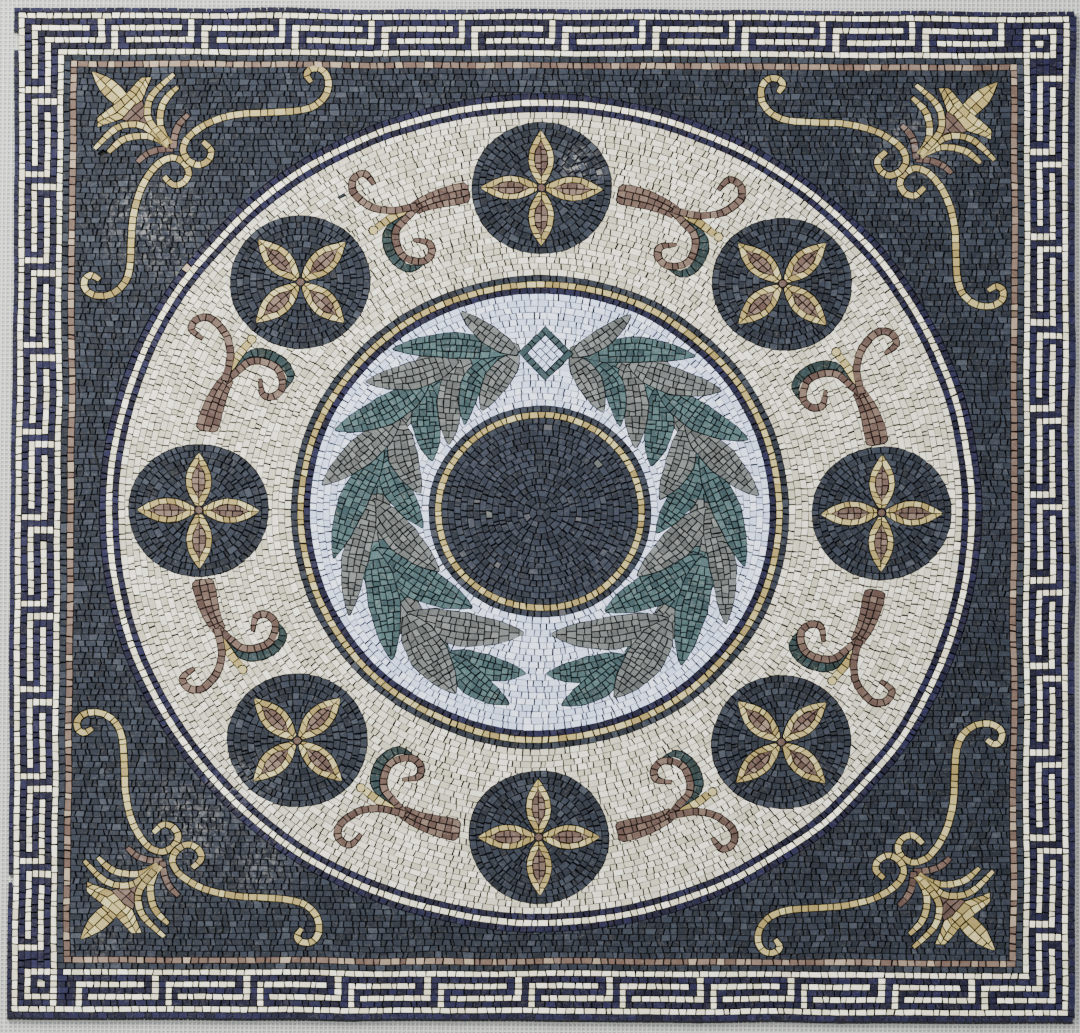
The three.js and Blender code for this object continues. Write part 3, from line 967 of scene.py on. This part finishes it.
# Cuts along and across a leaf: as many lanes as its width holds, each with its own joints
def leafCuts(stroke):
    cuts = []
    for start, end, lanes in leafZones(stroke):
        for lane in range(lanes):
            low, high = -1 + 2 * lane / lanes, -1 + 2 * (lane + 1) / lanes
            if lane:
                seam = stroke.lengthwise(start, end, low, 6)
                cuts.append([drawnOn(seam[0], seam[1])[0], *seam, drawnOn(seam[-2], seam[-1])[1]])
            for at in jointPlaces(start, end, wreath["stoneLength"], wreath["uneven"])[1:-1]:
                lean = random.uniform(-wreath["lean"], wreath["lean"])
                cuts.append(drawnOn(stroke.at(at - lean, low), stroke.at(at + lean, high), 1.2))
        if end < stroke.length - 1:
            cuts.append([stroke.at(end, -1.15), stroke.at(end, 1.15)])
    return cuts


# The lozenge between the branches
diamond = {
    "halfWidth": 31.5,
    "halfHeight": 33.5,
    "share": 0.467,
    "drift": 5.0,
    "across": 4,
    "frameJoints": 0.26,
    "uneven": 0.15,
}
diamondCentre = (diamond["drift"], hubRimRadius + diamond["share"] * plan["whiteBandWidth"])


def lozenge(inset):
    across, upright = diamond["halfWidth"] - inset, diamond["halfHeight"] - inset
    return roundel(moved([(across, 0), (0, upright), (-across, 0), (0, -upright)], diamondCentre))


diamondOuter, diamondInner = lozenge(0), lozenge(rowPitch * math.sqrt(2))
cuts = []
for k in range(4):
    a, b = diamondInner[k], diamondInner[(k + 1) % 4]
    way = unit(a, b)
    cuts.append([a, add(b, way, 12)])
    for share in jointPlaces(0, 1, diamond["frameJoints"], diamond["uneven"])[1:-1]:
        foot = between(a, b, share)
        cuts.append(drawnOn(foot, add(foot, (way[1], -way[0]), 12)))
rows = diamond["across"]
right, top, left, bottom = diamondInner
for row in range(rows):
    a, b = between(right, bottom, row / rows), between(top, left, row / rows)
    c, d = between(right, bottom, (row + 1) / rows), between(top, left, (row + 1) / rows)
    cuts.append([a, b])
    for share in jointPlaces(-0.12 * (row % 2), 1, 1 / rows, diamond["uneven"]):
        if 0.1 < share < 0.9:
            cuts.append(drawnOn(between(a, b, share), between(c, d, share)))
for piece in cutStones(cuts, [diamondOuter], smallest=16):
    isInner = inside(middle(piece), diamondInner)
    lay("diamond_middle" if isInner else "diamond_frame", piece, "white" if isInner else "green", 0.35)


def branchPlace(points, branch):
    return roundel(points if branch == "left" else turned(mirrored(points), -wreath["rightTurn"]))


whiteLeave = [diamondOuter]
for branch in ("left", "right"):
    node = f"wreath_{branch}"
    taken = [diamondOuter]
    leafMiddles = []
    for pair, (foot, outer, inner) in enumerate(leafPairs):
        stone = "taupe" if pair % 2 == 0 else "green"
        for leaf in (outer, inner):
            stroke = leafStroke(foot, leaf)
            cuts = [branchPlace(line, branch) for line in leafCuts(stroke)]
            layCut(node, stone, branchPlace(stroke.outline(), branch), cuts, taken, smallest=29, thinnest=2.2)
            marks = [stroke.at(stroke.length * share) for share in (0.1, 0.3, 0.5)]
            leafMiddles += [(branchPlace([mark], branch)[0], stone) for mark in marks]
    # What shows between the leaves takes the stone of the nearest leaf
    stem = Stroke([whitePoint(foot) for foot, _, _ in leafPairs], wreath["stemHalf"])
    stem = branchPlace(stem.outline(), branch)
    for piece in cutStones(ringLines(hubRimRadius, innerRing[0], whiteStone), [stem], taken):
        near = min(leafMiddles, key=lambda leaf: distance(leaf[0], middle(piece)))
        lay(node, piece, near[1])
    whiteLeave += [*taken[1:], stem]
report("wreath")

whiteLeave.append(roundel(circle(hubRimRadius, 160)))
whiteLines = ringLines(hubRimRadius, innerRing[0], whiteStone)
layRound("white_band", "white", whiteLines, roundel(circle(innerRing[0], 320)), whiteLeave)

# Hub

hub = {"stoneLength": 8.6, "innermostRow": 5.0, "centreRadius": 4.6, "centreTone": 0.6}
layRing("hub_rim", hubGoldRadius, hubRimRadius, "hub")
layRing("hub_gold", plan["hubRadius"], hubGoldRadius, "gold")
hubLines = ringLines(hub["innermostRow"], plan["hubRadius"], hub["stoneLength"])
centreStone = roundel(circle(hub["centreRadius"], 8))
lay("hub_disc", centreStone, "hub", hub["centreTone"])
layRound("hub_disc", "hub", hubLines, roundel(circle(plan["hubRadius"], 140)), [centreStone])
report("stones laid")

# Odd stones in the real one: an orange one at the ring's edge, a black one in the cream, tan ones in the
# hub and the field, and pale ones in the hub. Each takes the place of the stone nearest to it.
oddStones = [
    ("outer_ring_navy_out", (-414, 301), "rose", 1.0),
    ("cream_band", (-232, 382), "hub", 0.0),
    ("hub_disc", (62, 60), "taupe", 0.2),
    ("hub_disc", (-60, -3), "taupe", 0.3),
    ("hub_disc", (-72, 14), "hub", 1.0),
    ("hub_disc", (44, -8), "hub", 1.0),
    ("hub_disc", (86, 2), "hub", 0.97),
    ("hub_disc", (-46, -62), "hub", 1.0),
    ("slate_field", (-385, 268), "taupe", 0.2),
]
for node, place, stone, tone in oddStones:
    nearest = min(range(len(stones[node])), key=lambda k: distance(middle(stones[node][k][0]), place))
    outline, rest, restTone, course = stones[node][nearest]
    if node == "cream_band":
        # The black one is as small as a quarter of the others
        centre = middle(outline)
        cross = [[add(centre, way, 20), add(centre, way, -20)] for way in (course, leftOf(course))]
        quarters = cutStones(cross, [outline], smallest=2, thinnest=0.2)
        outline = quarters.pop()
        for piece in quarters:
            lay(node, piece, rest, restTone, course)
    stones[node][nearest] = (outline, stone, tone, course)

# Whitish glue left on the face: where, how far it reaches, and how much of it
glueHaze = [
    ((-450, 346), 50, 0.5),
    ((-404, -380), 52, 0.38),
    ((-440, -430), 46, 0.26),
    ((-350, -330), 36, 0.3),
    ((-500, -520), 36, 0.14),
    ((423, 443), 40, 0.3),
    ((38, 425), 15, 0.9),
    ((55, 412), 12, 0.8),
    ((-320, -430), 34, 0.3),
]


# Materials

def linear(colour):
    channels = [int(colour[k:k + 2], 16) / 255 for k in (1, 3, 5)]
    return tuple(c / 12.92 if c <= 0.04045 else ((c + 0.055) / 1.055) ** 2.4 for c in channels) + (1.0,)


# Settings go to the node's own values or else to its sockets, and links to its sockets
def addNode(tree, kind, settings=None, links=None):
    node = tree.nodes.new(kind)
    for name, value in (settings or {}).items():
        if isinstance(name, str) and hasattr(node, name):
            setattr(node, name, value)
        else:
            node.inputs[name].default_value = value
    for name, source in (links or {}).items():
        tree.links.new(source, node.inputs[name])
    return node


# A new material that holds only the node which gives the places on the object
def emptyMaterial(name):
    material = bpy.data.materials.new(name)
    material.use_nodes = True
    tree = material.node_tree
    tree.nodes.clear()
    return material, tree, addNode(tree, "ShaderNodeTexCoord").outputs["Object"]


# Pattern scales are repeats in a metre: clouds of 4 mm, veins 13 mm apart, smears of 7 mm, and a grain
# of 1.6 mm, which is coarser than the stone's own so that it shows
marbling = {
    "patterns": {
        "clouds": {"Scale": 260.0, "Detail": 4.0, "Roughness": 0.6},
        "veins": {"Scale": 75.0, "Detail": 6.0, "Distortion": 1.4},
        "smears": {"Scale": 150.0, "Detail": 5.0, "Roughness": 0.65, "Distortion": 0.8},
        "grain": {"Scale": 620.0, "Detail": 3.0},
    },
    "grainDepth": 0.0004,
    "veinColour": "#b9b3a6",
    "hazeColour": "#9b9b98",
    # Painted shade: a near-black mixed onto the stones' sawn sides and worn edges, so the joints look
    # shadowed
    "paintedShadeColour": "#14151a",
    "paintedShadeOnSides": 0.85,
    "specular": 0.12,
}


# Honed marble, which is flat and matt with no gloss. shades are the colours that its stones come in,
# from dark to light; every stone takes one of them, clouded and veined within. Smears of glue lie on
# some, and the sawn sides and worn edges down to the glue carry painted shade, so the joints look dark.
def marble(name, shades, cloud, vein, roughness=0.5, veinColour=marbling["veinColour"]):
    material, tree, place = emptyMaterial(name)
    given = {
        name: addNode(tree, "ShaderNodeAttribute", {"attribute_name": name}).outputs["Fac"]
        for name in ("tone", "haze", "side")
    }
    given |= {
        name: addNode(tree, "ShaderNodeTexNoise", look, {"Vector": place}).outputs["Fac"]
        for name, look in marbling["patterns"].items()
    }
    ranges = {
        "shade": ("clouds", {"From Min": 0.3, "From Max": 0.7, "To Min": 1 - cloud, "To Max": 1 + cloud}),
        "veinStart": ("veins", {"From Min": 0.485, "From Max": 0.5, "To Min": 0.0, "To Max": vein}),
        "veinEnd": ("veins", {"From Min": 0.5, "From Max": 0.52, "To Min": 1.0, "To Max": 0.0}),
        "smear": ("smears", {"From Min": 0.5, "From Max": 0.66}),
        # How much painted shade the sides and worn edges take, from the side mark
        "paintedSideShade": ("side", {"To Min": 0.0, "To Max": marbling["paintedShadeOnSides"]}),
        "rough": ("clouds", {"To Min": roughness - 0.1, "To Max": roughness + 0.12}),
    }
    given |= {
        name: addNode(tree, "ShaderNodeMapRange", look, {"Value": given[source]}).outputs["Result"]
        for name, (source, look) in ranges.items()
    }
    for name, a, b in (("vein", "veinStart", "veinEnd"), ("glue", "haze", "smear")):
        both = addNode(tree, "ShaderNodeMath", {"operation": "MULTIPLY"}, {0: given[a], 1: given[b]})
        given[name] = both.outputs["Value"]
    ramp = addNode(tree, "ShaderNodeValToRGB", {}, {"Fac": given["tone"]})
    ramp.color_ramp.interpolation = "LINEAR"
    while len(ramp.color_ramp.elements) < len(shades):
        ramp.color_ramp.elements.new(0.5)
    for element, (position, colour) in zip(ramp.color_ramp.elements, shades):
        element.position = position
        element.color = linear(colour)
    clouded = addNode(
        tree, "ShaderNodeMix", {"data_type": "RGBA", "blend_type": "MULTIPLY", "Factor": 1.0},
        {6: ramp.outputs["Color"], 7: given["shade"]},
    )
    colour = clouded.outputs[2]
    # The last tint is the painted shade on the sides and worn edges
    tints = {"vein": veinColour, "glue": marbling["hazeColour"], "paintedSideShade": marbling["paintedShadeColour"]}
    for share, tint in tints.items():
        settings = {"data_type": "RGBA", 7: linear(tint)}
        colour = addNode(tree, "ShaderNodeMix", settings, {"Factor": given[share], 6: colour}).outputs[2]
    bump = addNode(tree, "ShaderNodeBump", {"Strength": 0.35, "Distance": marbling["grainDepth"]},
                   {"Height": given["grain"]})
    surface = addNode(
        tree, "ShaderNodeBsdfPrincipled", {"IOR": 1.5, "Specular IOR Level": marbling["specular"]},
        {"Base Color": colour, "Roughness": given["rough"], "Normal": bump.outputs["Normal"]},
    )
    addNode(tree, "ShaderNodeOutputMaterial", {}, {"Surface": surface.outputs["BSDF"]})
    return material


# Shades of each stone, from dark to light, with the share of stones up to each
marbles = {
    "navy": marble("navy_marble_honed", [(0.0, "#08081d"), (0.5, "#0e0d28"), (1.0, "#181737")], 0.12, 0.06),
    "ivory": marble("ivory_marble_honed", [(0.0, "#cbc7a9"), (0.5, "#e8e5c6"), (1.0, "#fcfae5")], 0.07, 0.1),
    "slate": marble("slate_marble_honed",
                    [(0.0, "#11161e"), (0.5, "#1b212b"), (0.9, "#242a35"), (1.0, "#323841")], 0.16, 0.07),
    "rose": marble("rose_marble_honed",
                   [(0.0, "#43312b"), (0.45, "#57443b"), (0.75, "#6e5b4f"), (1.0, "#ad9a80")], 0.1, 0.12),
    "gold": marble("gold_marble_honed", [(0.0, "#82713e"), (0.5, "#a09157"), (1.0, "#beb27a")], 0.07, 0.1),
    "cream": marble("cream_marble_honed", [(0.0, "#b0ab93"), (0.5, "#cac6af"), (1.0, "#eae7d5")], 0.07, 0.1),
    "white": marble("white_marble_honed",
                    [(0.0, "#b1bee0"), (0.5, "#c5d2f4"), (1.0, "#e2ebff")], 0.07, 0.12, 0.45, "#b4b8c6"),
    "green": marble("green_marble_honed", [(0.0, "#172523"), (0.3, "#22363a"), (1.0, "#3d5658")], 0.16, 0.15),
    "taupe": marble("taupe_marble_honed", [(0.0, "#434746"), (0.5, "#515655"), (1.0, "#636867")], 0.1, 0.15),
    "hub": marble("charcoal_marble_honed",
                  [(0.0, "#141922"), (0.5, "#1d232e"), (0.985, "#272d39"), (1.0, "#47484c")], 0.14, 0.08),
}


# A dull coating, mottled between two shades, with the same grain in its bumps
def coating(name, scale, detail, dark, light, bumpStrength, bumpDepth, roughness):
    material, tree, place = emptyMaterial(name)
    grain = addNode(tree, "ShaderNodeTexNoise", {"Scale": scale, "Detail": detail}, {"Vector": place})
    ramp = addNode(tree, "ShaderNodeValToRGB", {}, {"Fac": grain.outputs["Fac"]})
    ramp.color_ramp.elements[0].color = linear(dark)
    ramp.color_ramp.elements[1].color = linear(light)
    bump = addNode(tree, "ShaderNodeBump", {"Strength": bumpStrength, "Distance": bumpDepth},
                   {"Height": grain.outputs["Fac"]})
    surface = addNode(tree, "ShaderNodeBsdfPrincipled", {"IOR": 1.5, "Roughness": roughness},
                      {"Base Color": ramp.outputs["Color"], "Normal": bump.outputs["Normal"]})
    addNode(tree, "ShaderNodeOutputMaterial", {}, {"Surface": surface.outputs["BSDF"]})
    return material


# Meshes

def activate(obj):
    bpy.ops.object.select_all(action="DESELECT")
    obj.select_set(True)
    bpy.context.view_layer.objects.active = obj


def newObject(name, verts, faces):
    mesh = bpy.data.meshes.new(name)
    mesh.from_pydata(verts, [], faces)
    obj = bpy.data.objects.new(name, mesh)
    bpy.context.scene.collection.objects.link(obj)
    activate(obj)
    return obj


def setAttribute(mesh, name, values):
    mesh.attributes.new(name, "FLOAT", "POINT").data.foreach_set("value", np.asarray(values, np.float32))


# How far the hand strayed from the drawn line: the same everywhere near a place
def strayed(point):
    scale, reach = laying["wanderScale"], laying["handWander"]
    at = Vector((point[0] / scale, point[1] / scale, 3.1))
    return (point[0] + noise.noise(at) * reach, point[1] + noise.noise(at + Vector((7.7, 1.3, 5.0))) * reach)


# The ends of a stone in a course are cut by eye, so its end joints gape more than the course's own
def short(point, centre, course):
    reach = (point[0] - centre[0]) * course[0] + (point[1] - centre[1]) * course[1]
    cut = math.copysign(min(abs(reach) * laying["endGapeShare"], random.uniform(*laying["endGape"])), reach)
    return (point[0] - course[0] * cut, point[1] - course[1] * cut)


# The flat outlines of a solid's stones, each vertex marked with its stone's number
def flatStones(node, laid):
    verts, faces, numbers = [], [], []
    jitter = laying["cornerJitter"]
    for number, (outline, _, _, course) in enumerate(laid):
        centre = middle(outline)
        faces.append(list(range(len(verts), len(verts) + len(outline))))
        for point in outline:
            x, y = strayed(short(point, centre, course) if course else point)
            x += random.uniform(-jitter, jitter)
            y += random.uniform(-jitter, jitter)
            verts.append((x / 1000, y / 1000, laying["glueTop"] / 1000))
            numbers.append(number)
    obj = newObject(f"stones_{node}", verts, faces)
    setAttribute(obj.data, "number", numbers)
    names = sorted({stone for _, stone, _, _ in laid})
    slots = [names.index(stone) for _, stone, _, _ in laid]
    obj.data.polygons.foreach_set("material_index", np.array(slots, np.int32))
    for name in names:
        obj.data.materials.append(marbles[name])
    return obj


# Draws the outlines in by half a joint, raises them, and wears their upper edges
def raiseStones(node):
    kind = node.split("_")[0]
    if kind in ("tendril", "lily", "flower", "scroll", "wreath", "diamond"):
        kind = "motifs"
    joint = laying["joint"].get(kind, laying["joint"]["others"])
    wear = laying["edgeWear"]
    drop = wear * laying["wearDrop"]
    eachAlone = {"use_even_offset": False, "use_individual": True}
    bpy.ops.object.mode_set(mode="EDIT")
    bpy.ops.mesh.select_mode(type="FACE")
    bpy.ops.mesh.select_all(action="SELECT")
    bpy.ops.mesh.inset(thickness=joint / 2000 * laying["cornerReach"], **eachAlone)
    bpy.ops.mesh.select_all(action="INVERT")
    bpy.ops.mesh.delete(type="FACE")
    bpy.ops.mesh.select_all(action="SELECT")
    rise = (laying["stoneThickness"] - drop) / 1000
    bpy.ops.mesh.extrude_region_move(TRANSFORM_OT_translate={"value": (0, 0, rise)})
    bpy.ops.mesh.inset(thickness=wear / 1000 * laying["cornerReach"], **eachAlone)
    bpy.ops.transform.translate(value=(0, 0, drop / 1000))
    bpy.ops.object.mode_set(mode="OBJECT")


# Sets every stone at its own height and a little askew, and notes its tone, its sides and its haze
def settleStones(mesh, laid):
    count = len(mesh.vertices)
    co = np.zeros(count * 3, np.float32)
    mesh.vertices.foreach_get("co", co)
    co = co.reshape(-1, 3)
    number = np.zeros(count, np.float32)
    mesh.attributes["number"].data.foreach_get("value", number)
    mesh.attributes.remove(mesh.attributes["number"])
    number = np.clip(np.rint(number).astype(int), 0, len(laid) - 1)
    sums = np.zeros((len(laid), 2))
    np.add.at(sums, number, co[:, :2])
    centres = sums / np.maximum(np.bincount(number, minlength=len(laid)), 1)[:, None]
    chance = np.random.default_rng(len(laid) * 7 + 3)
    limit = laying["heightLimit"]
    heights = np.clip(chance.normal(0, laying["heightJitter"], len(laid)), -limit, limit) / 1000
    tilts = chance.normal(0, laying["tiltJitter"], (len(laid), 2))
    worn = laying["edgeWear"] * laying["wearDrop"] / 2
    upper = co[:, 2] > (laying["glueTop"] + 1) / 1000
    face = co[:, 2] > (laying["glueTop"] + laying["stoneThickness"] - worn) / 1000
    lift = heights[number] + ((co[:, :2] - centres[number]) * tilts[number]).sum(1)
    co[:, 2] += np.where(upper, lift, 0)
    mesh.vertices.foreach_set("co", co.ravel())
    haze = np.zeros(count)
    for (x, y), reach, amount in glueHaze:
        off = ((co[:, 0] * 1000 - x) ** 2 + (co[:, 1] * 1000 - y) ** 2) / reach ** 2
        haze = np.maximum(haze, amount * np.exp(-off))
    setAttribute(mesh, "tone", np.array([tone for _, _, tone, _ in laid], np.float32)[number])
    # The side mark is 1 on the sides and worn edges, which the marble darkens with painted shade
    setAttribute(mesh, "side", np.where(face, 0, 1))
    setAttribute(mesh, "haze", haze)
    mesh.update()


built = 0
for node, laid in stones.items():
    if laid:
        obj = flatStones(node, laid)
        raiseStones(node)
        settleStones(obj.data, laid)
        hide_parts(node)
        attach(obj, "root")
        built += len(obj.data.polygons)
print("stage stones built", built)

# Glass-fibre mesh: two layers of flat coated threads, one across the other, and the glue on it

backing = {
    "pitch": 5.0,
    "threadWidth": 1.9,
    "threadHeight": 0.34,
    "layerRise": 0.35,
    "wander": 0.5,
    "wanderLength": 240.0,
    "segments": 12,
    "glueFrom": 0.74,
    "glueTo": 0.98,
    "glueInset": 1,
}


# One thread as a chain of square rings, a quarter turned where it runs up the panel
def addThread(verts, faces, direction, index, aside):
    segments, high = backing["segments"], backing["threadHeight"]
    first = len(verts)
    for s in range(segments + 1):
        at = -meshHalf + 2 * meshHalf * s / segments
        off = noise.noise(Vector((index * 0.7, at / backing["wanderLength"], direction * 9.0)))
        off *= backing["wander"]
        half = backing["threadWidth"] / 2 * random.uniform(0.85, 1.1)
        for across, up in ((-half, 0), (half, 0), (half, high), (-half, high)):
            place = (at, aside + off + across) if direction == 0 else (aside + off + across, at)
            verts.append((place[0] / 1000, place[1] / 1000, (direction * backing["layerRise"] + up) / 1000))
    last = first + 4 * segments
    own = [
        [a + c, a + 4 + c, a + 4 + (c + 1) % 4, a + (c + 1) % 4]
        for a in range(first, last, 4) for c in range(4)
    ]
    own += [[first, first + 1, first + 2, first + 3], [last + 3, last + 2, last + 1, last]]
    faces += own if direction == 0 else [face[::-1] for face in own]


verts, faces = [], []
threads = int(2 * meshHalf / backing["pitch"])
for direction in (0, 1):
    for k in range(threads + 1):
        addThread(verts, faces, direction, k, (k - threads / 2) * backing["pitch"])
netting = newObject("glass_fibre_mesh", verts, faces)
bpy.ops.object.mode_set(mode="EDIT")
bpy.ops.mesh.select_all(action="SELECT")
bpy.ops.mesh.normals_make_consistent(inside=False)
bpy.ops.object.mode_set(mode="OBJECT")
# Pale yarn in a dull coating, with a grain of about 1 mm where its fibres show through
netting.data.materials.append(
    coating("coated_glass_fibre_yarn", 900.0, 2.0, "#a4a69e", "#d8d9d1", 0.4, 0.0002, 0.6)
)
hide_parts("mesh_backing")
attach(netting, "root")
print("stage mesh", len(netting.data.polygons))

bpy.ops.object.select_all(action="DESELECT")
bpy.ops.mesh.primitive_cube_add(size=1, location=(0, 0, (backing["glueFrom"] + backing["glueTo"]) / 2000))
glue = bpy.context.active_object
glue.name = "set_glue"
glueWidth = 2 * (outerLineEdge - backing["glueInset"]) / 1000
glue.scale = (glueWidth, glueWidth, (backing["glueTo"] - backing["glueFrom"]) / 1000)
bpy.ops.object.transform_apply(location=True, rotation=True, scale=True)
# The glue between the mesh and the stones, set dark and dull, with lumps of about 8 mm
glue.data.materials.append(coating("tile_adhesive_set", 120.0, 5.0, "#26272a", "#4b4b49", 0.5, 0.0004, 0.75))
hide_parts("mesh_backing")
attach(glue, "root")
print("stage glue", len(glue.data.polygons))

# Floor, light and camera

studio = {
    "floor": "#a3a6a6",
    "floorWidth": 14,
    "world": 1.5,
    "worldColour": "#f4f6fa",
    "keyLight": 260.0,
    "keyWidth": 2.4,
    "keyColour": (1.0, 0.98, 0.95),
    "keyPlace": (-1.7, 1.5, 2.35),
    "lens": 1500.0,
    "sensor": 36.0,
    "elevation": 71.73,
    "aim": (-0.0023, -0.0053, 0.009),
    "widthSeen": 1.2395,
    "roll": 0.25,
}


def turnTowards(obj, target, roll=0.0):
    facing = (Vector(target) - obj.location).to_track_quat("-Z", "Y").to_matrix()
    obj.rotation_euler = (facing @ Matrix.Rotation(math.radians(roll), 3, "Z")).to_euler()


bpy.ops.object.select_all(action="DESELECT")
bpy.ops.mesh.primitive_plane_add(size=studio["floorWidth"], location=(0, 0, -0.0005))
floor = bpy.context.active_object
floor.name = "floor"
floorPaint = bpy.data.materials.new("plain_pale_floor")
floorPaint.use_nodes = True
floorSurface = floorPaint.node_tree.nodes["Principled BSDF"]
floorSurface.inputs["Base Color"].default_value = linear(studio["floor"])
floorSurface.inputs["Roughness"].default_value = 0.8
floor.data.materials.append(floorPaint)

world = bpy.data.worlds.new("soft_room")
bpy.context.scene.world = world
world.use_nodes = True
world.node_tree.nodes["Background"].inputs["Color"].default_value = linear(studio["worldColour"])
world.node_tree.nodes["Background"].inputs["Strength"].default_value = studio["world"]

lamp = bpy.data.lights.new("soft_key", "AREA")
lamp.energy = studio["keyLight"]
lamp.size = studio["keyWidth"]
lamp.color = studio["keyColour"]
key = bpy.data.objects.new("soft_key", lamp)
bpy.context.scene.collection.objects.link(key)
key.location = studio["keyPlace"]
turnTowards(key, (0, 0, 0))

lens = bpy.data.cameras.new("camera")
lens.lens = studio["lens"]
lens.sensor_width = studio["sensor"]
lens.clip_end = 500.0
camera = bpy.data.objects.new("camera", lens)
bpy.context.scene.collection.objects.link(camera)
tilt = math.radians(studio["elevation"])
away = studio["widthSeen"] * studio["lens"] / studio["sensor"]
camera.location = Vector(studio["aim"]) + Vector((0, -math.cos(tilt), math.sin(tilt))) * away
turnTowards(camera, studio["aim"], studio["roll"])
bpy.context.scene.camera = camera
print("stage studio")
